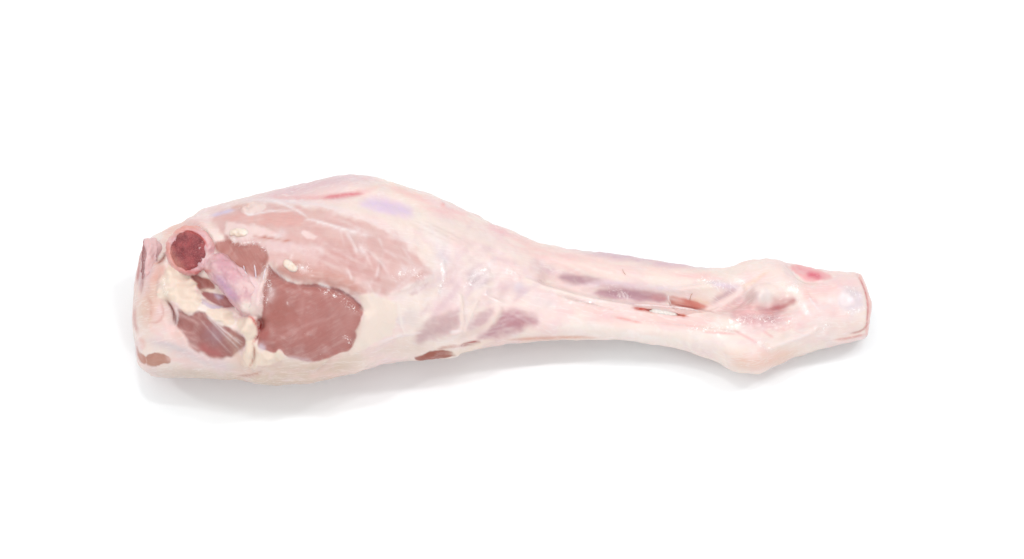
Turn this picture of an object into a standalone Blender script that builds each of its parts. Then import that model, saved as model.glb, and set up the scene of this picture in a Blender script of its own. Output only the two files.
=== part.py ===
"""Milk-fed leg of lamb, bone in, lying on its outer side with the inner side up.

Metres, +Z up. X runs along the leg, from the rump (-X) to the hock (+X), and the leg
rests on the plane Z = 0. The inner side is read along a line of sight from the near side
(-Y), so each section is set by the two edges it shows there, its underside and its top.
"""

import math

import bpy
import numpy as np
from mathutils import Vector
from mathutils.bvhtree import BVHTree

MM = 0.001

# Driving sizes
SIGHT_ELEVATION = math.radians(60.0)
SIGHT_DISTANCE = 2.084
SIGHT_TARGET = np.array([0.0046, 0.0067, 0.0250])
SIGHT_START = -0.1805
GAP = 0.0003
SEAT_GAP = 0.0004
SEAT_REACH = 0.012

# How fine the flesh is
RINGS_ALONG = 78
SIDES_ROUND = 46
SIDES_BONE = 18
SHAFT_STEPS = 13
CROWDING = 0.36

# Colours, linear
FLESH_COLOUR = (0.72, 0.43, 0.36)
BONE_COLOUR = (0.78, 0.48, 0.44)
MARROW_COLOUR = (0.38, 0.07, 0.07)

# Sections in mm: place along the leg, low edge and high edge in the line of sight,
# underside and top above the table. A section under the table is flattened onto it.
SECTIONS = (
    (0.0, -19.5, -13.5, 22.0, 27.0),
    (0.6, -26.0, -6.0, 16.0, 34.0),
    (3.4, -40.8, 12.9, 7.0, 46.0),
    (6.4, -44.4, 18.3, 3.5, 51.0),
    (10.0, -46.9, 21.6, 1.0, 54.5),
    (16.0, -47.8, 24.4, -1.0, 58.0),
    (24.0, -47.8, 27.2, -2.0, 61.0),
    (33.0, -47.9, 34.0, -2.0, 65.0),
    (49.0, -48.3, 38.8, -2.0, 70.0),
    (67.0, -51.4, 43.2, -2.0, 74.0),
    (85.0, -50.7, 47.4, -2.0, 76.0),
    (102.0, -47.2, 51.3, -2.0, 75.0),
    (112.0, -44.4, 50.9, -2.0, 73.0),
    (128.0, -40.4, 47.2, -2.0, 67.5),
    (146.0, -38.7, 41.3, -1.0, 59.5),
    (155.0, -37.6, 37.6, 0.0, 55.0),
    (164.0, -35.4, 33.2, 1.0, 51.0),
    (181.0, -31.7, 25.6, 3.5, 43.5),
    (199.0, -30.2, 18.2, 5.5, 37.0),
    (216.0, -29.3, 14.8, 6.5, 33.0),
    (234.0, -29.2, 12.8, 6.5, 30.5),
    (252.0, -31.0, 10.0, 5.0, 29.5),
    (269.0, -34.5, 7.1, 3.0, 29.5),
    (287.0, -40.4, 5.6, 0.0, 31.0),
    (296.0, -44.6, 6.6, -1.5, 32.0),
    (304.0, -45.2, 9.0, -2.0, 32.5),
    (313.0, -42.3, 9.2, -1.5, 32.5),
    (322.0, -38.4, 7.7, -0.5, 31.5),
    (340.0, -33.0, 4.3, 1.0, 29.0),
    (355.0, -29.7, 2.6, 2.0, 27.5),
    (357.2, -28.8, -0.8, 2.5, 26.5),
    (358.8, -27.2, -4.4, 3.5, 25.0),
    (360.0, -21.0, -11.0, 9.0, 20.0),
)
ROUNDNESS = 2.3

TOWARD = np.array([0.0, -math.cos(SIGHT_ELEVATION), math.sin(SIGHT_ELEVATION)])
UPWARD = np.array([0.0, math.sin(SIGHT_ELEVATION), math.cos(SIGHT_ELEVATION)])

# Relief of the inner side, in mm: a path of (along, up the sight) points, its half width
# and its height, which is negative for a furrow.
RELIEF = (
    # hollows round the hip bone, and the pit behind its foot
    ((29, 1), (36, -4), (42, -10), (50, -17), 6.5, -6.5),
    ((47, 14), (56, 6), (62, -3), 7.0, -3.5),
    ((62, -21), (59, -30), 2.8, -3.0),
    ((16, -11), (20, -22), 2.8, -2.2),
    # fat that wraps the rump
    ((17, 6), (20, -2), (22, -10), 5.0, 3.0),
    ((8, -38), (30, -44), (60, -47), 6.0, 1.6),
    ((26, -29), (40, -38), (50, -42), 5.0, 1.2),
    # crease over the lean eye and the step of fat round it
    ((66, 6), (70, 2), (81, -2), (92, -2), (101, -4.5), (110, -9.5), (113, -14), 2.8, -2.2),
    ((68, -16), (86, -19), (102, -22), 12.0, -1.5),
    ((117, -18), (117, -30), (108, -42), 6.0, 1.8),
    # long muscle over the eye, and the furrow along the front of the thigh
    ((52, 23), (80, 19), (112, 10), (138, 0), 11.0, 2.2),
    ((70, 7), (84, 3), (100, 1), (112, -5), 4.0, 1.2),
    ((78, 43), (100, 43), (122, 40), (140, 35), 3.4, -1.6),
    ((105, 47), (128, 42), (150, 35), 4.5, 1.2),
    # knee and the calf below it
    ((150, 20), (168, 18), (185, 10), 9.0, 1.6),
    ((150, -22), (172, -24), (192, -22), 8.0, 2.0),
    ((148, -4), (165, -2), (180, -4), 8.0, -1.4),
    # shin bone, heel cord and the furrow between them
    ((205, 8), (235, 5), (265, 2), (292, -1), 5.5, 1.6),
    ((205, -22), (235, -23), (265, -27), (292, -34), 6.0, 2.0),
    ((204, 2), (224, -4), (245, -7), (262, -9.5), (275, -12), (288, -11), (298, -8), 4.6, -6.5),
    # hock: its two knuckles, the hollow between them, and the heel
    ((300, 5), (308, 5), (316, 3), 6.0, 2.8),
    ((310, -13), (322, -12), 4.5, -4.0),
    ((302, -7), (310, -8), 5.0, 2.2),
    ((292, -37), (303, -40), 7.0, 2.4),
    ((328, -6), (346, -8), 9.0, 1.8),
    ((320, 5), (329, -1), 3.6, -1.4),
)

# Relief of the outer side, which faces the table and away, by (along, height round the
# back) in mm: the place round the back is measured from the far edge to the near one.
BACK_RELIEF = (
    ((200, 0), (240, 0), (285, 0), 6.0, -5.0),
    ((70, 18), (110, 16), (150, 8), 5.0, -1.6),
    ((300, 4), (315, 2), 7.0, 1.8),
)

# Slit between the heel cord and the shin: ends in mm of the sight, half height, and how
# far it reaches each side of the furrow
SLIT_ENDS = ((246.0, -14.0), (270.0, -17.8))
SLIT_HALF_HEIGHT = 1.5
SLIT_REACH = 0.040

# Sawn bones: where the middle of the sawn face shows (mm), how far under the skin it is
# there, the way it looks, its half width and half height, its rim of hard bone, how proud
# it stands, how deep it is buried, how much its buried end narrows, and how deep its
# marrow goes, all but the first and the third in metres
SAWN_BONES = {
    "hip": {
        "sight": (28.4, 14.0),
        "under": 0.0,
        "looks": (-0.18, -0.47, 0.864),
        "half": (0.0100, 0.0106),
        "rim": 0.0015,
        "proud": 0.0055,
        "buried": 0.0170,
        "narrows": 0.0036,
        "marrow": 0.0080,
    },
    "blade": {
        "sight": (6.5, 6.5),
        "under": 0.0,
        "looks": (-0.955, -0.120, 0.270),
        "half": (0.0055, 0.0138),
        "rim": 0.0013,
        "proud": 0.0016,
        "buried": 0.0085,
        "narrows": 0.0014,
        "marrow": 0.0045,
    },
    "cannon": {
        "sight": (355.0, -14.5),
        "under": 0.0125,
        "looks": (1.0, 0.0, 0.0),
        "half": (0.0068, 0.0078),
        "rim": 0.0024,
        "proud": 0.0052,
        "buried": 0.0320,
        "narrows": 0.0024,
        "marrow": 0.0200,
    },
}

# Shaft of the hip bone, from its buried foot to under its sawn head: along, up the sight
# and height over the flesh, in mm, with a radius in mm
HIP_SHAFT = (
    (60.5, -26.0, -9.5, 5.0),
    (57.8, -17.5, -4.0, 6.2),
    (54.0, -9.5, -1.2, 6.0),
    (48.0, -1.5, 0.0, 5.6),
    (41.0, 4.8, -1.0, 5.8),
    (34.0, 9.5, -4.5, 6.6),
)


def clear_scene():
    """Empties the file, so that only the leg is left."""
    for old in list(bpy.data.objects):
        bpy.data.objects.remove(old, do_unlink=True)


def smooth_through(stations, values, places):
    """Values at places on a curve through the stations that never overshoots them."""
    x = np.asarray(stations, float)
    y = np.asarray(values, float)
    run = np.diff(x)
    slope = np.diff(y) / run
    tangent = np.zeros(len(x))
    same_way = slope[:-1] * slope[1:] > 0
    w1 = 2 * run[1:] + run[:-1]
    w2 = run[1:] + 2 * run[:-1]
    blend = np.where(same_way, slope[:-1] * slope[1:], 1.0)
    below = np.where(same_way, w1 * slope[1:] + w2 * slope[:-1], 1.0)
    tangent[1:-1] = np.where(same_way, (w1 + w2) * blend / below, 0.0)
    tangent[0] = slope[0]
    tangent[-1] = slope[-1]
    i = np.clip(np.searchsorted(x, places) - 1, 0, len(x) - 2)
    t = (places - x[i]) / run[i]
    return (
        (1 + 2 * t) * (1 - t) ** 2 * y[i]
        + t * (1 - t) ** 2 * run[i] * tangent[i]
        + t * t * (3 - 2 * t) * y[i + 1]
        + t * t * (t - 1) * run[i] * tangent[i + 1]
    )


def smoothstep(low, high, value):
    """0 below low, 1 above high, and an easy slope between them."""
    t = np.clip((value - low) / (high - low), 0.0, 1.0)
    return t * t * (3 - 2 * t)


def in_sight(points):
    """Where points show along the line of sight: (along, up) in mm."""
    q = points - SIGHT_TARGET
    nearer = SIGHT_DISTANCE / (SIGHT_DISTANCE - q @ TOWARD)
    along = SIGHT_TARGET[0] - SIGHT_START + q[:, 0] * nearer
    return np.stack([along, (q @ UPWARD) * nearer], axis=1) / MM


def section_points(along, angles):
    """The base surface at places along the leg (mm) and angles round it."""
    table = np.array(SECTIONS, float)
    low, high, under, top = (
        smooth_through(table[:, 0], table[:, k], along) for k in range(1, 5)
    )
    conjugate = ROUNDNESS / (ROUNDNESS - 1)
    sin_e, cos_e = math.sin(SIGHT_ELEVATION), math.cos(SIGHT_ELEVATION)
    half_tall = (top - under) / 2 * MM
    mid_z = (top + under) / 2 * MM
    nearness = 1.0
    for _ in range(3):
        half_seen = (high - low) / 2 * MM * nearness
        mid_seen = (high + low) / 2 * MM * nearness
        spread = half_seen**conjugate - (half_tall * cos_e) ** conjugate
        half_wide = np.maximum(spread, 1e-9) ** (1 / conjugate) / sin_e
        rise = (mid_z - SIGHT_TARGET[2]) * cos_e
        mid_y = SIGHT_TARGET[1] + (mid_seen - rise) / sin_e
        depth = (mid_y - SIGHT_TARGET[1]) * TOWARD[1] + (
            mid_z - SIGHT_TARGET[2]
        ) * TOWARD[2]
        nearness = 1 - depth / SIGHT_DISTANCE
    x = SIGHT_TARGET[0] + (SIGHT_START + along * MM - SIGHT_TARGET[0]) * nearness
    c, s = np.cos(angles), np.sin(angles)
    power = 2 / ROUNDNESS
    y = mid_y + half_wide * np.sign(c) * np.abs(c) ** power
    z = mid_z + half_tall * np.sign(s) * np.abs(s) ** power
    return np.stack([x, y, z], axis=-1)


def distance_to_path(places, path):
    """Distance of each place from a path of straight runs, all in mm."""
    nearest = np.full(len(places), 1e9)
    for a, b in zip(path[:-1], path[1:]):
        a, b = np.array(a, float), np.array(b, float)
        run = b - a
        t = np.clip((places - a) @ run / (run @ run), 0, 1)
        gap = np.linalg.norm(places - (a + t[:, None] * run), axis=1)
        nearest = np.minimum(nearest, gap)
    return nearest


def relief_height(places, reliefs):
    """Sum of the ridges and furrows at these places, in metres."""
    height = np.zeros(len(places))
    for *path, half_width, peak in reliefs:
        gap = distance_to_path(places, path)
        height += peak * MM * np.exp(-((gap / half_width) ** 2))
    return height


def ring_stations():
    """Places of the rings along the leg, close together at both ends."""
    rump = 14.0 * (1 - np.cos(np.linspace(0, math.pi / 2, 10)[1:]))
    hock = 346.0 + 14.0 * np.sin(np.linspace(0, math.pi / 2, 9))[:-1]
    body = np.linspace(14.0, 346.0, RINGS_ALONG)[1:-1]
    return np.concatenate([rump, body, hock])


def ring_angles():
    """Angles round the leg, closer together on the side that is seen."""
    seen = math.pi - SIGHT_ELEVATION
    turn = np.arange(SIDES_ROUND) * 2 * math.pi / SIDES_ROUND
    return turn - CROWDING * np.sin(turn - seen)


def grid_mesh(name, rings):
    """A closed mesh from equal rings of points, with a fan over each end."""
    rings = np.asarray(rings, float)
    count, sides = rings.shape[:2]
    points = rings.reshape(-1, 3)
    ends = np.stack([rings[0].mean(axis=0), rings[-1].mean(axis=0)])
    points = np.concatenate([points, ends])
    faces = []
    for i in range(count - 1):
        for j in range(sides):
            k = (j + 1) % sides
            near, far = i * sides, (i + 1) * sides
            faces.append((near + j, near + k, far + k, far + j))
    first, last = count * sides, count * sides + 1
    for j in range(sides):
        k = (j + 1) % sides
        faces.append((first, k, j))
        faces.append((last, last - 1 - sides + j, last - 1 - sides + k))
    mesh = bpy.data.meshes.new(name)
    mesh.from_pydata(points.tolist(), [], faces)
    mesh.update()
    return mesh


def flesh_mesh():
    """The flesh as one closed mesh, before its relief."""
    along, angles = ring_stations(), ring_angles()
    rings, sides = len(along), len(angles)
    points = section_points(np.repeat(along, sides), np.tile(angles, rings))
    return grid_mesh("leg_flesh", points.reshape(rings, sides, 3))


def shape_flesh(mesh):
    """Moves the flesh's points along their normals by the relief, then onto the table."""
    count = len(mesh.vertices)
    points = np.zeros(count * 3)
    normals = np.zeros(count * 3)
    mesh.vertices.foreach_get("co", points)
    mesh.vertex_normals.foreach_get("vector", normals)
    points, normals = points.reshape(-1, 3), normals.reshape(-1, 3)
    facing = normals @ TOWARD
    seen = smoothstep(0.0, 0.35, facing)
    hidden = smoothstep(0.1, 0.5, -facing)
    places = in_sight(points)
    height = relief_height(places, RELIEF) * seen
    height += relief_height(places + np.array([0.0, 12.0]), BACK_RELIEF) * hidden
    points = points + normals * height[:, None]
    points[:, 2] = np.maximum(points[:, 2], 0.0)
    mesh.vertices.foreach_set("co", points.ravel())
    mesh.update()


def sight_line(along, up):
    """Eye and direction of the line of sight to a place given in mm."""
    eye = SIGHT_TARGET + TOWARD * SIGHT_DISTANCE
    across = SIGHT_START + along * MM - SIGHT_TARGET[0]
    aim = SIGHT_TARGET + np.array([across, 0.0, 0.0]) + UPWARD * up * MM
    return Vector(eye), Vector(aim - eye).normalized()


def surface_point(tree, along, up):
    """The point of the flesh that shows at a place given in mm."""
    eye, way = sight_line(along, up)
    return np.array(tree.ray_cast(eye, way)[0])


def path_through(points, steps):
    """Points on a smooth curve through the given rows, evenly spread between them."""
    rows = np.asarray(points, float)
    knots = np.arange(len(rows))
    places = np.linspace(0, len(rows) - 1, steps)
    columns = [smooth_through(knots, rows[:, k], places) for k in range(rows.shape[1])]
    return np.stack(columns, axis=1)


def rings_round(centres, radii, sides):
    """Rings of points square to a path, turned as little as possible along it."""
    ways = np.gradient(centres, axis=0)
    side = Vector((1.0, 0.0, 0.0))
    rings = []
    for centre, way, radius in zip(centres, ways, radii):
        forward = Vector(way).normalized()
        side = (side - forward * side.dot(forward)).normalized()
        other = forward.cross(side)
        turn = np.arange(sides) * 2 * math.pi / sides
        ring = np.outer(np.cos(turn), side) + np.outer(np.sin(turn), other)
        rings.append(centre + ring * radius)
    return np.array(rings)


def shaft_rings(tree, grow=0.0):
    """Rings of the hip bone's shaft, from its buried foot to under its head."""
    rows = []
    for along, up, over, radius in HIP_SHAFT:
        centre = surface_point(tree, along, up) + TOWARD * over * MM
        rows.append((*centre, radius * MM))
    path = path_through(rows, SHAFT_STEPS)
    return rings_round(path[:, :3], path[:, 3] + grow, SIDES_BONE)


def oval_rings(place, looks, half, depths):
    """Rings of an oval bar whose sawn face looks one way, by depth and growth."""
    forward = Vector(looks).normalized()
    tall = Vector(UPWARD)
    tall = (tall - forward * tall.dot(forward)).normalized()
    wide = tall.cross(forward)
    turn = np.arange(SIDES_BONE) * 2 * math.pi / SIDES_BONE
    rings = []
    for depth, grow in depths:
        ring = np.outer(np.cos(turn) * (half[0] + grow), wide)
        ring += np.outer(np.sin(turn) * (half[1] + grow), tall)
        rings.append(place - np.array(forward) * depth + ring)
    return np.array(rings)


def sawn_rings(tree, facts):
    """Rings of a sawn bone, its marrow, the pocket for it and the bone's own seat."""
    place = surface_point(tree, *facts["sight"]) - TOWARD * facts["under"]
    place = place + np.array(facts["looks"]) * facts["proud"]
    looks, half = facts["looks"], facts["half"]
    rim, buried, narrows = facts["rim"], facts["buried"], facts["narrows"]
    bone = (
        (buried, -narrows - rim),
        (buried * 0.92, -narrows),
        (buried * 0.5, -narrows * 0.4),
        (rim, 0.0),
        (rim * 0.3, -rim * 0.08),
        (0.0, -rim * 0.35),
    )
    pocket = ((facts["marrow"], -rim), (-rim, -rim))
    marrow = (
        (facts["marrow"] - GAP, -rim - GAP),
        (rim * 0.3, -rim - GAP),
        (-rim * 0.1, -rim * 1.6),
        (-rim * 0.3, -half[0] * 0.5),
    )
    seat = [(depth + SEAT_GAP, grow + SEAT_GAP) for depth, grow in bone[:4]]
    seat.append((-SEAT_REACH, SEAT_GAP))
    return [oval_rings(place, looks, half, rows) for rows in (bone, marrow, pocket, seat)]


def slit_rings(tree):
    """Rings of the cutter for the slit beside the heel cord, along the line of sight."""
    (start, start_up), (end, end_up) = SLIT_ENDS
    share = np.array([0.0, 0.12, 0.35, 0.65, 0.88, 1.0, 0.88, 0.65, 0.35, 0.12])
    bulge = np.array([0.0, 0.7, 1.0, 1.0, 0.7, 0.0, -0.7, -1.0, -1.0, -0.7])
    middle = surface_point(tree, (start + end) / 2, (start_up + end_up) / 2)
    rings = []
    for reach in (-SLIT_REACH, SLIT_REACH):
        ring = []
        for t, b in zip(share, bulge):
            along = start + (end - start) * t
            up = start_up + (end_up - start_up) * t + b * SLIT_HALF_HEIGHT
            eye, way = sight_line(along, up)
            depth = (Vector(middle) - eye).dot(way)
            ring.append(eye + way * (depth + reach))
        rings.append(ring)
    return np.array(rings)


def combine(obj, name, rings, operation):
    """Joins the closed form of these rings to the object, or takes it out of it."""
    tool = bpy.data.objects.new(name, grid_mesh(name, rings))
    bpy.context.scene.collection.objects.link(tool)
    tool.hide_render = True
    tool.display_type = "WIRE"
    modifier = obj.modifiers.new(name, "BOOLEAN")
    modifier.operation = operation
    modifier.solver = "EXACT"
    modifier.object = tool


def add_object(name, mesh, colour, roughness):
    """Shows a mesh under its node's name, in one plain colour."""
    obj = bpy.data.objects.new(name, mesh)
    bpy.context.scene.collection.objects.link(obj)
    material = bpy.data.materials.new(name)
    material.use_nodes = True
    shader = material.node_tree.nodes["Principled BSDF"]
    shader.inputs["Base Color"].default_value = (*colour, 1.0)
    shader.inputs["Roughness"].default_value = roughness
    mesh.materials.append(material)
    return obj


def add_bone(flesh, tree, name, facts):
    """A sawn bone and its marrow, seated in the flesh."""
    bone_rings, marrow_rings, pocket, seat = sawn_rings(tree, facts)
    bone = add_object(f"{name}_bone", grid_mesh(name, bone_rings), BONE_COLOUR, 0.4)
    marrow = grid_mesh(f"{name}_marrow", marrow_rings)
    add_object(f"{name}_marrow", marrow, MARROW_COLOUR, 0.5)
    if name == "hip":
        combine(bone, "hip_shaft", shaft_rings(tree), "UNION")
        combine(flesh, "shaft_seat", shaft_rings(tree, SEAT_GAP), "DIFFERENCE")
    combine(bone, f"{name}_pocket", pocket, "DIFFERENCE")
    combine(flesh, f"{name}_seat", seat, "DIFFERENCE")


def main():
    """Builds the flesh, seats the three sawn bones in it and cuts the slit."""
    clear_scene()
    mesh = flesh_mesh()
    base = BVHTree.FromPolygons(
        [v.co for v in mesh.vertices], [tuple(p.vertices) for p in mesh.polygons]
    )
    shape_flesh(mesh)
    flesh = add_object("leg_flesh", mesh, FLESH_COLOUR, 0.35)
    for name, facts in SAWN_BONES.items():
        add_bone(flesh, base, name, facts)
    combine(flesh, "cord_slit", slit_rings(base), "DIFFERENCE")


main()
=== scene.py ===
"""Looks of the milk-fed leg of lamb: its flesh, bones, fat and strands.

Metres, +Z up. X runs along the leg from the rump to the hock. The inner side is read along
the camera's line of sight, so the places of fine things are in the pixels of its picture,
1024 wide and 559 high.
"""

import math
from collections import namedtuple

import bpy
import numpy as np
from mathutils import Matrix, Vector
from mathutils.bvhtree import BVHTree


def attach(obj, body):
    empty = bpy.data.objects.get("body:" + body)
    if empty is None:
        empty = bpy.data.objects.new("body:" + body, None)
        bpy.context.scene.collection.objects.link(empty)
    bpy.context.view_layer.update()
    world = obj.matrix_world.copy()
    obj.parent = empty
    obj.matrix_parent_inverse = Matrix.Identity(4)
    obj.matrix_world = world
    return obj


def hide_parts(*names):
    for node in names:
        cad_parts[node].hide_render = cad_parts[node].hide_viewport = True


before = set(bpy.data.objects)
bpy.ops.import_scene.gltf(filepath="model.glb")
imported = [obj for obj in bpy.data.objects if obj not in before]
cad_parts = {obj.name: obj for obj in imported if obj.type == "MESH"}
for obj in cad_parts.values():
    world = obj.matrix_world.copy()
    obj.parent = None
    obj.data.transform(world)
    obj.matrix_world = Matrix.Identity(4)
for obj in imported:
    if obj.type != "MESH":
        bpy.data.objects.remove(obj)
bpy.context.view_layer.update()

MM = 0.001

# Camera and picture
SIGHT_ELEVATION = math.radians(60.0)
SIGHT_DISTANCE = 2.084
SIGHT_TARGET = np.array([0.0046, 0.0067, 0.0250])
SIGHT_START = -0.1805
TOWARD = np.array([0.0, -math.cos(SIGHT_ELEVATION), math.sin(SIGHT_ELEVATION)])
UPWARD = np.array([0.0, math.sin(SIGHT_ELEVATION), math.cos(SIGHT_ELEVATION)])
LENS_MM = 150.0
SENSOR_MM = 36.0
PICTURE_WIDTH, PICTURE_HEIGHT = 1024, 559
PIXEL = SENSOR_MM / LENS_MM * SIGHT_DISTANCE / PICTURE_WIDTH
MIDDLE_X, MIDDLE_Y = PICTURE_WIDTH / 2, PICTURE_HEIGHT / 2
START_X = MIDDLE_X + (SIGHT_START - SIGHT_TARGET[0]) / PIXEL

# How fine the meshes are. CROWN_REACH is the share of the marrow's face that rings cover.
RINGS_RUMP, RINGS_BODY, RINGS_HOCK = 22, 472, 22
RUMP_END, HOCK_START, LEG_MM = 14.0, 346.0, 360.0
SIDES = 184
CROWDING = 0.5
MIDDLE_STATIONS = 180
BONE_SIDES, MARROW_SIDES = 64, 96
CROWN_RINGS, CROWN_REACH = 16, 0.94
SHAFT_STEPS, SHAFT_SIDES = 40, 40
STRAND_STEPS, STRAND_SIDES = 28, 10
PAD_RINGS = 8
JOIN_SMOOTHING = 5

# Noise on the surfaces: its size in metres, its height in metres and its seed. The heights
# of EDGE_NOISE, LUMP_NOISE and PAD_NOISE are shares.
FLESH_NOISE = ((0.016, 0.00022, 3), (0.006, 0.00010, 4))
EDGE_NOISE = ((0.0075, 0.55, 31), (0.0028, 0.22, 32))
LUMP_NOISE = ((0.0042, 0.8, 33),)
BONE_NOISE = ((0.006, 0.00030, 21), (0.002, 0.00008, 22))
MARROW_NOISE = ((0.0030, 0.00022, 23), (0.0011, 0.00014, 24))
PAD_NOISE = ((0.0035, 0.16, 11), (0.0018, 0.07, 12))

# Sections in mm, as in the solid: place along the leg, low edge and high edge in the line
# of sight, underside and top above the table
SECTIONS = (
    (0.0, -19.5, -13.5, 22.0, 27.0),
    (0.6, -26.0, -6.0, 16.0, 34.0),
    (3.4, -40.8, 12.9, 7.0, 46.0),
    (6.4, -44.4, 18.3, 3.5, 51.0),
    (10.0, -46.9, 21.6, 1.0, 54.5),
    (16.0, -47.8, 24.4, -1.0, 58.0),
    (24.0, -47.8, 27.2, -2.0, 61.0),
    (33.0, -47.9, 34.0, -2.0, 65.0),
    (49.0, -48.3, 38.8, -2.0, 70.0),
    (67.0, -51.4, 43.2, -2.0, 74.0),
    (85.0, -50.7, 47.4, -2.0, 76.0),
    (102.0, -47.2, 51.3, -2.0, 75.0),
    (112.0, -44.4, 50.9, -2.0, 73.0),
    (128.0, -40.4, 47.2, -2.0, 67.5),
    (146.0, -38.7, 41.3, -1.0, 59.5),
    (155.0, -37.6, 37.6, 0.0, 55.0),
    (164.0, -35.4, 33.2, 1.0, 51.0),
    (181.0, -31.7, 25.6, 3.5, 43.5),
    (199.0, -30.2, 18.2, 5.5, 37.0),
    (216.0, -29.3, 14.8, 6.5, 33.0),
    (234.0, -29.2, 12.8, 6.5, 30.5),
    (252.0, -31.0, 10.0, 5.0, 29.5),
    (269.0, -34.5, 7.1, 3.0, 29.5),
    (287.0, -40.4, 5.6, 0.0, 31.0),
    (296.0, -44.6, 6.6, -1.5, 32.0),
    (304.0, -45.2, 9.0, -2.0, 32.5),
    (313.0, -42.3, 9.2, -1.5, 32.5),
    (322.0, -38.4, 7.7, -0.5, 31.5),
    (340.0, -33.0, 4.3, 1.0, 29.0),
    (355.0, -29.7, 2.6, 2.0, 27.5),
    (357.2, -28.8, -0.8, 2.5, 26.5),
    (358.8, -27.2, -4.4, 3.5, 25.0),
    (360.0, -21.0, -11.0, 9.0, 20.0),
)
ROUNDNESS = 2.3

# Broad relief in mm, as in the solid: a path of (along, up the sight) points, its half
# width and its height
BROAD_RELIEF = (
    ((29, 1), (36, -4), (42, -10), (50, -17), 6.5, -6.5),
    ((47, 14), (56, 6), (62, -3), 7.0, -3.5),
    ((62, -21), (59, -30), 2.8, -3.0),
    ((16, -11), (20, -22), 2.8, -2.2),
    ((17, 6), (20, -2), (22, -10), 5.0, 3.0),
    ((8, -38), (30, -44), (60, -47), 6.0, 1.6),
    ((26, -29), (40, -38), (50, -42), 5.0, 1.2),
    ((66, 6), (70, 2), (81, -2), (92, -2), (101, -4.5), (110, -9.5), (113, -14), 2.8, -2.2),
    ((68, -16), (86, -19), (102, -22), 12.0, -1.5),
    ((117, -18), (117, -30), (108, -42), 6.0, 1.8),
    ((52, 23), (80, 19), (112, 10), (138, 0), 11.0, 2.2),
    ((70, 7), (84, 3), (100, 1), (112, -5), 4.0, 1.2),
    ((78, 43), (100, 43), (122, 40), (140, 35), 3.4, -1.6),
    ((105, 47), (128, 42), (150, 35), 4.5, 1.2),
    ((150, 20), (168, 18), (185, 10), 9.0, 1.6),
    ((150, -22), (172, -24), (192, -22), 8.0, 2.0),
    ((148, -4), (165, -2), (180, -4), 8.0, -1.4),
    ((205, 8), (235, 5), (265, 2), (292, -1), 5.5, 1.6),
    ((205, -22), (235, -23), (265, -27), (292, -34), 6.0, 2.0),
    ((204, 2), (224, -4), (245, -7), (262, -9.5), (275, -12), (288, -11), (298, -8), 4.6, -6.5),
    ((300, 5), (308, 5), (316, 3), 6.0, 2.8),
    ((310, -13), (322, -12), 4.5, -4.0),
    ((302, -7), (310, -8), 5.0, 2.2),
    ((292, -37), (303, -40), 7.0, 2.4),
    ((328, -6), (346, -8), 9.0, 1.8),
    ((320, 5), (329, -1), 3.6, -1.4),
)
BACK_RELIEF = (
    ((200, 0), (240, 0), (285, 0), 6.0, -5.0),
    ((70, 18), (110, 16), (150, 8), 5.0, -1.6),
    ((300, 4), (315, 2), 7.0, 1.8),
)
# The relief of the back lies this much lower than its rows say, along and up the sight
BACK_OFFSET = (0.0, 12.0)

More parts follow.
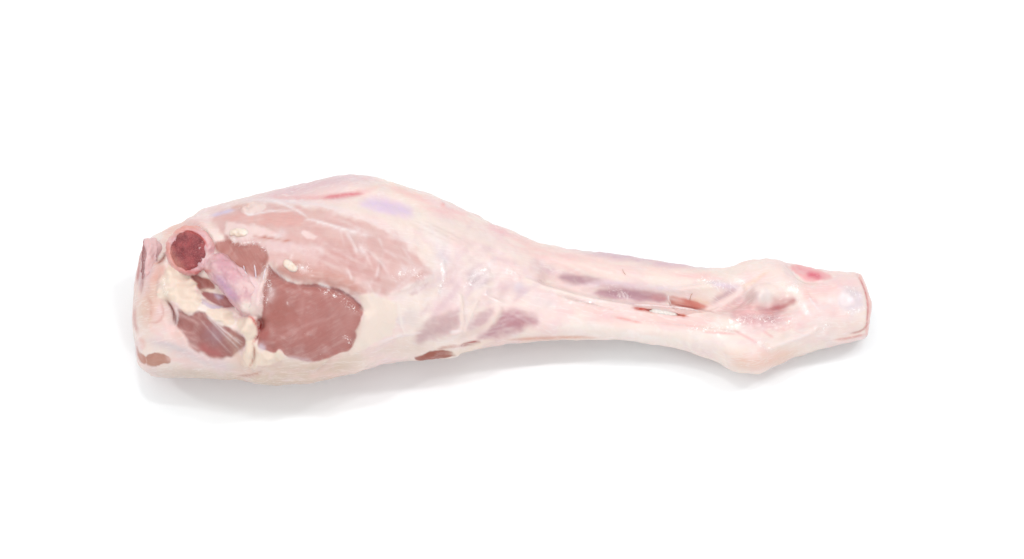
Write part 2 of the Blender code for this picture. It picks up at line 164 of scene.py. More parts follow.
# Fine relief of the inner side: a path in pixels, its half width in pixels and its height
# in mm
FINE_RELIEF = (
    # rump: crevice in the fat, lumps of fat, and the pit behind the hip bone
    ((166, 300), (172, 309), (175, 324), 1.8, -1.3),
    ((159, 262), (164, 255), 1.8, -1.0),
    ((246, 322), (244, 331), 6.0, 2.2),
    ((248, 355), (249, 362), 4.5, 1.4),
    ((262, 356), (268, 360), 4.5, 1.2),
    ((236, 349), (242, 338), 1.8, -0.6),
    ((258, 320), (260, 328), 2.4, -2.0),
    ((260, 329), (254, 341), 1.6, -1.2),
    ((250, 316), (257, 317), 1.2, -0.8),
    ((254, 350), (254, 366), 1.4, -1.0),
    ((237, 375), (250, 374), (261, 371), 1.4, -0.7),
    ((140, 340), (163, 339), (182, 345), (204, 359), (232, 365), 4.5, 0.8),
    ((205, 315), (224, 333), (238, 348), 1.4, 0.5),
    ((212, 314), (230, 330), (242, 342), 1.2, 0.4),
    ((186, 318), (196, 336), (212, 352), 5.0, -0.5),
    ((162, 245), (168, 231), (187, 221), (206, 226), (218, 244), 4.5, 1.8),
    ((143, 246), (140, 262), (138, 284), 1.6, -0.8),
    ((148, 250), (144, 268), (141, 292), 1.3, -0.7),
    ((152, 326), (158, 316), (154, 304), 8.0, 0.9),
    ((164, 334), (170, 322), (166, 312), 6.0, 0.8),
    ((150, 284), (156, 272), (150, 262), 7.0, 0.8),
    # ridge of fat on the near side of the lean eye, and the crease over it
    ((267, 262), (267, 273), (262, 281), (260, 290), (259, 304), 3.2, 2.4),
    ((248, 272), (255, 288), (254, 302), 6.0, 2.6),
    ((240, 306), (250, 311), (258, 308), 4.5, 2.0),
    ((268, 266), (278, 275), (297, 285), (320, 284), (340, 290), (358, 301), (364, 311), 1.4, -0.7),
    ((272, 262), (282, 271), (298, 279), (322, 279), (343, 284), (360, 293), 3.2, 0.4),
    ((363, 316), (357, 336), (350, 350), 1.5, -0.8),
    ((312, 369), (319, 364), (328, 357), 2.6, 1.2),
    ((318, 370), (325, 365), (330, 360), 1.6, -1.0),
    # long muscle: seams under the fat tails, and the veins of membrane on it
    ((251, 237), (275, 240), (298, 243), 1.3, -0.5),
    ((240, 227), (262, 231), (278, 235), 2.2, 0.4),
    ((299, 230), (312, 233), (322, 236), 1.4, 0.35),
    ((305, 222), (321, 224), (340, 229), (360, 234), 1.3, 0.4),
    ((345, 231), (352, 243), (358, 256), 1.4, 0.3),
    ((347, 266), (352, 281), 1.4, 0.35),
    ((378, 265), (375, 279), 1.4, 0.3),
    ((241, 211), (255, 215), (276, 212), (291, 210), (300, 219), 1.3, 0.4),
    ((268, 198), (310, 197), (340, 196), (360, 192), 2.2, -0.5),
    # folds of the membrane over the knee
    ((374, 344), (388, 340), (404, 334), (419, 334), 1.3, 0.6),
    ((404, 334), (400, 325), 1.2, 0.5),
    ((391, 293), (403, 290), (420, 280), (431, 276), 1.8, 0.6),
    ((461, 296), (462, 322), (458, 331), (450, 333), 1.6, 0.9),
    ((478, 301), (466, 322), (463, 330), 1.4, 0.7),
    ((436, 348), (473, 339), (484, 331), (500, 309), 3.0, 0.8),
    ((443, 262), (445, 280), 2.0, 0.6),
    ((470, 284), (486, 270), 3.0, 0.6),
    ((509, 270), (518, 277), 2.0, 0.4),
    ((487, 296), (503, 303), 2.0, 0.4),
    ((508, 296), (528, 294), 6.0, -0.7),
    ((440, 255), (452, 251), 6.0, -0.5),
    ((463, 344), (478, 341), 1.6, -2.0),
    ((415, 358), (436, 353), (456, 353), 4.0, 1.2),
    ((500, 325), (530, 322), 8.0, -0.8),
    # shank: cords, hollow and furrow
    ((526, 280), (554, 288), (588, 296), (632, 305), 2.2, 1.0),
    ((540, 262), (572, 272), (600, 281), 4.0, -1.2),
    ((583, 282), (611, 282), (650, 289), (690, 290), (726, 286), 2.6, 1.6),
    ((559, 294), (586, 301), (612, 308), 1.8, -0.7),
    ((612, 317), (640, 322), (700, 328), (738, 333), 1.8, -0.6),
    ((668, 293), (669, 301), (673, 307), 1.2, 1.0),
    ((685, 316), (711, 307), (727, 298), (746, 288), 2.2, 1.5),
    ((700, 304), (712, 308), 1.4, -0.8),
    # hock
    ((742, 302), (752, 291), (768, 287), (778, 292), 2.2, 0.6),
    ((760, 297), 8.0, 0.9),
    ((758, 309), (776, 308), (790, 304), 2.6, -0.8),
    ((788, 267), (796, 275), (806, 281), (822, 284), 1.8, -0.9),
    ((799, 267), (812, 273), (824, 277), 3.0, -0.7),
    ((808, 293), (813, 303), (821, 310), 1.5, -0.6),
    ((770, 348), (787, 342), (806, 335), (816, 329), 2.6, 0.8),
    ((850, 334), (862, 331), (868, 324), 1.4, -0.7),
    ((832, 341), (862, 336), 1.6, 0.6),
    ((840, 289), (852, 300), 8.0, 0.7),
    ((856, 275), (863, 284), (867, 300), (868, 320), (864, 333), 1.4, -0.6),
)

# The rump's cut face: how far it turns to the end, as a share, and where it starts in x
RUMP_TURN = (0.55, 0.85)
RUMP_REACH = (-0.160, -0.172)

# Slit between the heel cord and the shin, in mm of the sight, as in the solid
SLIT_ENDS = ((246.0, -14.0), (270.0, -17.8))
SLIT_HALF_HEIGHT = 1.0
# depth in metres, and the share of the slit's length and width that is open there
SLIT_LEVELS = (
    (-0.040, 1.0, 1.0),
    (-0.001, 1.0, 1.0),
    (0.004, 0.5, 0.9),
    (0.040, 0.8, 2.0),
)
SLIT_OPEN_AT = 0.58


# How much red, green and blue light falls on the leg: a surface shows that many times its
# own colour
LIGHT_LEVEL = np.array([1.28, 1.32, 1.30])


def tone(red, green, blue):
    """The surface colour that shows as this one, 0 to 255, in the studio's light."""
    shown = np.array([red, green, blue]) / 255.0
    linear = np.where(shown <= 0.04045, shown / 12.92, ((shown + 0.055) / 1.055) ** 2.4)
    return tuple(float(part) for part in linear / LIGHT_LEVEL)


CREAM = tone(250, 235, 224)
FAT = tone(243, 223, 203)
FAT_BRIGHT = tone(246, 228, 209)
SKIN_PINK = tone(250, 224, 219)
SKIN_WHITE = tone(250, 238, 236)
ROSE = tone(250, 198, 196)
BLUSH = tone(248, 212, 206)
MAUVE = tone(226, 194, 200)
LEAN_PALE = tone(230, 190, 184)
LEAN = tone(214, 160, 150)
LEAN_EYE = tone(186, 122, 114)
LEAN_DEEP = tone(172, 104, 98)
RED = tone(212, 84, 76)
BONE = tone(224, 176, 182)
BONE_PURPLE = tone(206, 162, 188)
BONE_RED = tone(214, 96, 90)
MARROW = tone(190, 86, 90)
MARROW_PALE = tone(214, 132, 130)
MARROW_DARK = tone(150, 60, 68)
HAIR_BROWN = tone(150, 96, 70)
FELL = tone(244, 216, 208)
FELL_PALE = tone(249, 231, 221)
COOL_PINK = tone(238, 214, 219)
MEMBRANE_EDGE = tone(255, 246, 242)
FIBRE_SHADE = tone(226, 190, 182)
VEIL = tone(240, 212, 206)
WARM_CREAM = tone(250, 232, 216)
BONE_PALE = tone(238, 204, 202)
FAT_PALE = tone(252, 240, 226)
# painted light: colours of the pale fill in the slit, standing in for the lit floor seen through it
SLIT_FILL_WHITE = tone(252, 248, 242)
SLIT_FILL_GREY = tone(240, 234, 224)
FIBRE_MAUVE = tone(232, 214, 226)
HAIR_PALE = tone(206, 140, 96)
# painted highlight: the near white of the glint specks
PAINTED_GLINT_WHITE = (0.97, 0.95, 0.95)
FLOOR = (0.90, 0.95, 0.965)
FLOOR_GREY = (0.93, 0.945, 0.955)

# Tissues that show on the inner side: an outline in pixels, its colour, how soft and how
# ragged its edge is in pixels, how lean it is, its grain in degrees and its rise in mm.
# Those that rise more than LUMPY_FROM are lumpy, and they rise over RISE_EDGE, in pixels
# from their outline. Depths inside an outline are read up to EDGE_REACH, and hidden places
# lie HIDDEN_DEPTH further out.
LUMPY_FROM = 0.45
RISE_EDGE = (-1.0, 1.8)
EDGE_REACH = 14.0
HIDDEN_DEPTH = 30.0
Region = namedtuple("Region", "name colour soft ragged lean grain rise outline")
REGIONS = (
    Region("long_muscle", LEAN_PALE, 4.5, 2.0, 0.5, 14, -0.15, (
        (208, 217), (236, 206), (262, 203), (300, 206), (340, 213), (372, 224), (397, 237),
        (414, 250), (426, 263), (431, 272), (424, 280), (406, 287), (393, 295), (379, 295),
        (366, 295), (352, 291), (330, 285), (300, 282), (278, 273), (264, 258), (246, 240),
        (222, 236),
    )),
    Region("muscle_tip_low", tone(216, 182, 182), 2.5, 2.0, 0.4, 30, -0.1, (
        (407, 290), (416, 282), (426, 279), (432, 280), (426, 288), (414, 293),
    )),
    Region("muscle_bright", tone(234, 184, 176), 3.0, 1.5, 0.8, 10, -0.1, (
        (216, 215), (240, 213), (253, 215), (268, 212), (287, 211), (299, 213), (306, 220),
        (302, 226), (283, 226), (253, 224), (227, 221), (215, 220),
    )),
    Region("muscle_low", tone(216, 163, 152), 5.0, 2.0, 0.8, 12, -0.1, (
        (272, 268), (284, 262), (300, 262), (314, 268), (330, 266), (347, 270), (358, 283),
        (366, 293), (357, 294), (340, 287), (324, 283), (304, 282), (284, 277),
    )),
    Region("muscle_middle", tone(218, 168, 162), 9.0, 3.0, 0.7, 16, 0.0, (
        (300, 244), (340, 244), (372, 252), (390, 266), (380, 284), (352, 276), (320, 262),
    )),
    Region("tail_veil", tone(246, 222, 218), 2.5, 2.0, 0.1, 8, 0.25, (
        (226, 222), (240, 223), (256, 226), (272, 230), (284, 235), (276, 238), (262, 237),
        (250, 238), (238, 239), (230, 236), (226, 229),
    )),
    Region("low_veil", tone(236, 204, 202), 4.0, 3.0, 0.3, 8, 0.1, (
        (252, 241), (272, 241), (300, 244), (302, 249), (280, 252), (262, 248),
    )),
    Region("small_flap", tone(244, 218, 214), 1.5, 1.2, 0.1, 12, 0.4, (
        (298, 230), (310, 233), (324, 237), (314, 240), (304, 237),
    )),
    Region("light_flap", tone(245, 224, 216), 1.4, 1.2, 0.0, 0, 0.5, (
        (242, 212), (252, 215), (260, 213), (268, 206), (261, 202), (250, 202), (243, 204),
    )),
    Region("lavender_patch", tone(236, 214, 236), 5.5, 1.0, 0.1, 8, 0.0, (
        (358, 205), (366, 199), (382, 198), (398, 202), (410, 208), (414, 216), (404, 217),
        (386, 215), (368, 211),
    )),
    Region("window_front", tone(194, 130, 120), 2.2, 1.8, 0.9, 60, -0.7, (
        (215, 241), (223, 238), (231, 240), (243, 245), (253, 243), (263, 248), (267, 257),
        (268, 263), (263, 274), (256, 279), (246, 278), (233, 268), (223, 257), (217, 250),
    )),
    Region("recess_head", tone(178, 114, 106), 1.4, 0.8, 0.8, 30, -0.6, (
        (186, 272), (196, 274), (208, 279), (214, 284), (216, 290), (206, 291), (198, 290),
        (194, 281),
    )),
    Region("recess_low", tone(184, 122, 120), 1.2, 0.8, 0.8, 35, -0.8, (
        (200, 291), (213, 292), (225, 295), (233, 301), (237, 308), (224, 308), (212, 303),
        (205, 298),
    )),
    Region("recess_blue", tone(196, 172, 196), 2.0, 0.8, 0.3, 20, -0.4, (
        (212, 292), (224, 295), (222, 299), (216, 299),
    )),
    Region("fascia_blue", tone(212, 194, 208), 1.4, 0.8, 0.1, 35, 0.5, (
        (195, 295), (201, 298), (207, 302), (215, 305), (225, 308), (218, 311), (208, 308),
        (201, 303),
    )),
    Region("window_rump", tone(172, 112, 106), 2.2, 1.2, 0.9, 48, -0.8, (
        (177, 308), (185, 312), (189, 316), (196, 310), (203, 312), (210, 319), (218, 325),
        (228, 328), (237, 331), (246, 337), (247, 343), (242, 350), (233, 357), (222, 359),
        (208, 357), (196, 351), (188, 343), (184, 334), (178, 327), (175, 318),
    )),
    Region("cut_low", tone(200, 142, 122), 1.0, 0.8, 0.8, 10, -0.8, (
        (146, 356), (151, 353), (158, 352), (165, 354), (172, 361), (168, 364), (156, 366),
        (147, 366),
    )),
    Region("cut_left", tone(206, 146, 128), 1.0, 0.6, 0.6, 70, -0.4, (
        (136, 344), (139, 352), (146, 357), (147, 364), (141, 363), (137, 355),
    )),
    Region("fat_bright", FAT_BRIGHT, 1.5, 2.6, 0.0, 0, 0.8, (
        (169, 257), (178, 265), (186, 272), (194, 281), (198, 291), (202, 300), (200, 307),
        (196, 312), (190, 317), (185, 311), (177, 307), (169, 300), (161, 300), (157, 294),
        (159, 285), (164, 275), (167, 265),
    )),
    Region("fat_rim", FAT_BRIGHT, 1.3, 1.4, 0.0, 0, 0.6, (
        (236, 323), (242, 318), (251, 317), (257, 322), (258, 331), (254, 341), (257, 346),
        (265, 349), (274, 353), (279, 350), (283, 352), (287, 358), (276, 363), (262, 367),
        (246, 368), (241, 361), (244, 352), (247, 343), (243, 335), (237, 329),
    )),
    Region("fat_patch_mid", FAT_BRIGHT, 1.1, 1.6, 0.0, 0, 0.6, (
        (205, 308), (213, 309), (222, 309), (233, 310), (232, 318), (235, 325), (224, 324),
        (215, 320), (209, 315),
    )),
    Region("lean_eye", LEAN_EYE, 1.2, 0.7, 1.0, -16, -0.9, (
        (268, 262), (272, 270), (279, 275), (287, 280), (298, 285), (311, 284), (321, 284),
        (331, 288), (340, 289), (346, 294), (355, 299), (362, 306), (364, 312), (361, 320),
        (359, 329), (356, 341), (351, 350), (341, 353), (330, 357), (322, 361), (313, 362),
        (304, 361), (295, 358), (286, 357), (281, 350), (278, 349), (274, 354), (265, 350),
        (256, 344), (260, 334), (261, 321), (263, 307), (263, 297), (262, 289), (266, 275),
    )),
    Region("fat_sheet", tone(246, 231, 218), 2.0, 1.6, 0.0, 0, 0.4, (
        (357, 295), (366, 294), (376, 293), (386, 299), (395, 301), (398, 312), (396, 326),
        (388, 338), (374, 343), (358, 352), (349, 354), (355, 342), (359, 329), (361, 320),
        (365, 311), (362, 304),
    )),
    Region("knee_window", tone(214, 182, 182), 6.5, 1.5, 0.5, 20, -0.3, (
        (414, 338), (424, 326), (436, 316), (448, 311), (460, 310), (463, 320), (459, 330),
        (446, 334), (430, 341), (416, 344),
    )),
    Region("knee_window_right", tone(218, 186, 188), 4.5, 1.2, 0.4, 30, -0.2, (
        (466, 329), (473, 318), (483, 311), (496, 307), (494, 317), (486, 326), (474, 333),
    )),
    Region("calf_muscle", tone(200, 148, 156), 6.5, 1.2, 0.7, 12, -0.2, (
        (479, 337), (489, 327), (496, 317), (506, 310), (521, 311), (541, 321), (529, 327),
        (513, 332), (496, 337), (484, 340),
    )),
    Region("calf_lobe", tone(164, 86, 66), 1.0, 0.8, 0.9, 8, 0.3, (
        (413, 359), (422, 355), (438, 349), (450, 351), (458, 355), (449, 358), (434, 360),
        (420, 362),
    )),
    Region("shank_back", tone(222, 190, 200), 4.0, 0.4, 0.2, 2, 0.0, (
        (564, 244), (575, 251), (604, 258), (645, 265), (690, 268), (712, 269), (712, 258),
        (660, 250), (600, 242),
    )),
    # painted shade: the hollow on the upper shank drawn darker mauve than the skin round it
    Region("hollow_high", tone(196, 158, 166), 3.5, 0.8, 0.4, 5, -0.2, (
        (555, 277), (562, 274), (579, 274), (602, 280), (589, 283), (571, 284),
    )),
    Region("furrow", tone(202, 160, 170), 2.4, 0.8, 0.6, 3, 0.0, (
        (588, 293), (600, 290), (620, 289), (645, 291), (668, 294), (668, 301), (650, 302),
        (622, 299), (602, 297),
    )),
    Region("furrow_window", tone(220, 138, 124), 1.8, 0.8, 0.7, 5, -0.8, (
        (669, 296), (679, 298), (696, 300), (711, 307), (702, 311), (687, 309), (674, 306),
        (669, 301),
    )),
    # painted shade: the hollow beside the hock's dome drawn dark pink
    Region("hollow_dark", tone(202, 130, 132), 5.0, 1.5, 0.2, 0, -0.3, (
        (762, 311), (772, 306), (784, 303), (796, 297), (792, 305), (778, 311),
    )),
    Region("hock_patch", tone(246, 182, 184), 2.2, 1.2, 0.2, 15, -0.2, (
        (787, 265), (802, 263), (820, 270), (833, 276), (828, 280), (811, 282), (800, 278),
    )),
    Region("hock_dome", tone(240, 228, 224), 4.0, 1.0, 0.0, 0, 0.2, (
        (756, 297), (760, 291), (766, 289), (773, 293), (772, 300), (762, 303),
    )),
    Region("hock_gristle", tone(232, 218, 224), 4.0, 2.0, 0.0, 0, 0.3, (
        (838, 292), (848, 286), (860, 290), (864, 302), (858, 312), (846, 312), (839, 304),
    )),
    Region("end_cut", tone(246, 206, 200), 0.8, 0.5, 0.3, 80, -0.2, (
        (856, 272), (862, 282), (866, 294), (868, 308), (867, 322), (864, 335), (874, 342),
        (880, 305), (872, 272),
    )),
)

# Soft touches of colour on the inner side: colour, strength, half width in pixels, path.
# They reach STROKE_REACH half widths to each side and fade at both ends.
Stroke = namedtuple("Stroke", "colour strength half_width path")
STROKE_REACH = 2.6
STROKE_FADE = (-0.12, 0.25)


def strokes(*rows):
    """Strokes from rows whose colour is a named one or stands as it shows, 0 to 255."""
    return [
        Stroke(tone(*colour) if max(colour) > 1 else colour, strength, half_width, path)
        for colour, strength, half_width, *path in rows
    ]


BROAD_STROKES = strokes(
    # rump
    ((233, 193, 174), 0.9, 16, (154, 262), (150, 300), (150, 332)),
    ((240, 206, 194), 0.8, 10, (176, 322), (184, 340)),
    # painted shade: the underside of the rump drawn darker tan along the lower edge, in this stroke
    # and the next
    ((208, 186, 168), 0.95, 9, (146, 372), (200, 377), (250, 383), (310, 383), (360, 371)),
    ((218, 194, 172), 0.9, 13, (214, 368), (260, 374), (320, 371), (372, 356)),
    ((226, 212, 214), 0.95, 6.5, (142, 340), (163, 342), (182, 350), (206, 362), (238, 369)),
    ((240, 196, 182), 0.8, 8, (164, 240), (168, 230), (187, 221), (206, 225)),
    ((236, 206, 208), 0.8, 5, (154, 238), (150, 256), (146, 290)),
    # top band, from the rump to the knee
    ((236, 208, 204), 0.8, 8, (196, 214), (240, 203), (300, 190)),
    ((230, 196, 202), 0.9, 8, (262, 196), (300, 188), (330, 181), (356, 177), (378, 181)),
    ((238, 170, 172), 0.6, 3, (270, 198), (300, 198), (330, 197), (356, 194), (384, 185)),
    ((252, 206, 200), 0.8, 4.5, (384, 184), (400, 190), (420, 198), (440, 204)),
    ((252, 236, 222), 0.8, 3, (372, 176), (396, 182), (430, 194), (452, 204)),
    ((252, 240, 228), 0.85, 8, (404, 214), (430, 224), (456, 230)),
    ((250, 236, 226), 0.85, 6, (380, 213), (405, 232), (429, 252), (437, 268), (435, 284)),
    ((252, 222, 218), 0.8, 5, (421, 192), (434, 200), (450, 210), (468, 216)),
    ((247, 198, 203), 0.85, 5, (486, 226), (497, 230), (508, 236)),
    ((252, 214, 208), 0.8, 6, (510, 234), (530, 243), (556, 250)),
    ((250, 222, 222), 0.6, 7, (470, 238), (490, 250), (506, 262)),
    # knee
    ((246, 242, 238), 0.7, 7, (420, 224), (438, 240), (452, 254)),
    ((248, 230, 228), 0.6, 7, (476, 226), (500, 242), (520, 252)),
    ((232, 222, 226), 0.85, 6, (436, 250), (444, 256), (448, 266)),
    ((250, 238, 228), 0.7, 6, (452, 250), (470, 262)),
    ((198, 178, 184), 0.95, 10, (466, 276), (480, 280), (484, 288)),
    ((246, 214, 210), 0.8, 4, (496, 275), (500, 284), (502, 293)),
    ((224, 214, 226), 0.85, 6, (514, 284), (522, 290), (526, 296)),
    ((234, 222, 218), 0.7, 8, (404, 310), (414, 318), (410, 328)),
    ((222, 214, 222), 0.7, 4.5, (400, 316), (402, 326)),
    ((238, 218, 206), 0.8, 8, (372, 352), (400, 347), (430, 348)),
    ((240, 226, 222), 0.7, 8, (440, 292), (456, 296), (470, 300)),
    ((242, 228, 228), 0.7, 8, (530, 300), (548, 304), (560, 308)),
    # shank
    # painted shade in the hollow on the upper shank
    ((230, 202, 208), 0.9, 6, (528, 261), (542, 266), (558, 272)),
    ((254, 224, 216), 0.85, 7, (560, 254), (600, 262), (640, 268), (690, 272)),
    ((252, 206, 204), 0.8, 3.2, (672, 275), (700, 277), (726, 279)),
    ((230, 214, 230), 0.8, 3.5, (708, 281), (724, 286), (741, 288)),
    ((228, 210, 216), 0.9, 3.2, (566, 286), (579, 283), (612, 283), (640, 287), (690, 291)),
    ((252, 238, 230), 0.9, 3, (522, 275), (539, 286), (562, 293), (587, 296), (612, 300), (636, 306)),
    ((230, 204, 198), 0.75, 2, (559, 295), (579, 300), (599, 306)),
    ((248, 212, 210), 0.7, 3, (554, 310), (566, 312), (577, 313)),
    ((248, 202, 200), 0.75, 2.6, (592, 312), (604, 316), (616, 320)),
    # painted shade in the hollow above the tendon by the hock
    ((196, 156, 162), 0.85, 3.4, (712, 303), (724, 296), (737, 289)),
    ((252, 222, 214), 0.8, 5, (634, 316), (670, 320), (700, 322), (726, 318)),
    # painted light: the lower side of the shank drawn near white to make up for the light it lacks
    ((255, 254, 248), 0.9, 7, (552, 328), (620, 331), (690, 338), (752, 348)),
    ((242, 212, 204), 0.8, 4, (473, 349), (506, 343), (529, 340), (560, 336)),
    # hock
    ((252, 238, 228), 0.7, 8, (744, 268), (760, 265), (776, 270)),
    ((200, 146, 150), 0.95, 9, (728, 314), (746, 313), (766, 320), (788, 318)),
    # painted shade under the fold by the hock
    ((236, 190, 184), 0.8, 4, (716, 312), (734, 304), (748, 306), (760, 308)),
    # painted shade on the left side of the hock's dome
    ((208, 176, 174), 0.9, 6, (748, 303), (754, 297), (759, 291)),
    ((228, 184, 182), 0.8, 6, (736, 304), (752, 311), (768, 316)),
    ((226, 176, 174), 0.7, 3, (770, 296), (778, 302), (790, 298)),
    # painted shade in the notch under the hock's dome
    ((222, 170, 168), 0.8, 3.5, (750, 309), (762, 311), (776, 313)),
    ((242, 224, 220), 0.8, 4.5, (790, 311), (800, 322), (802, 331)),
    ((240, 192, 190), 0.75, 4, (802, 292), (810, 298), (818, 306)),
    ((242, 230, 228), 0.8, 5, (828, 296), (836, 304)),
    ((252, 222, 222), 0.8, 6, (812, 287), (836, 286), (856, 282)),
    ((240, 222, 214), 0.8, 7, (812, 326), (840, 324), (858, 322)),
    ((240, 204, 186), 0.9, 9, (726, 352), (746, 364), (776, 358), (800, 350)),
    ((252, 208, 204), 0.75, 7, (798, 286), (820, 292), (846, 284)),
    ((250, 214, 210), 0.6, 6, (822, 304), (838, 312), (850, 320)),
    ((250, 206, 200), 0.6, 6, (640, 318), (680, 323), (724, 325)),
    ((252, 210, 204), 0.6, 5, (572, 306), (600, 312), (632, 317)),
    ((244, 226, 220), 0.6, 6, (772, 342), (800, 336), (830, 332)),
)
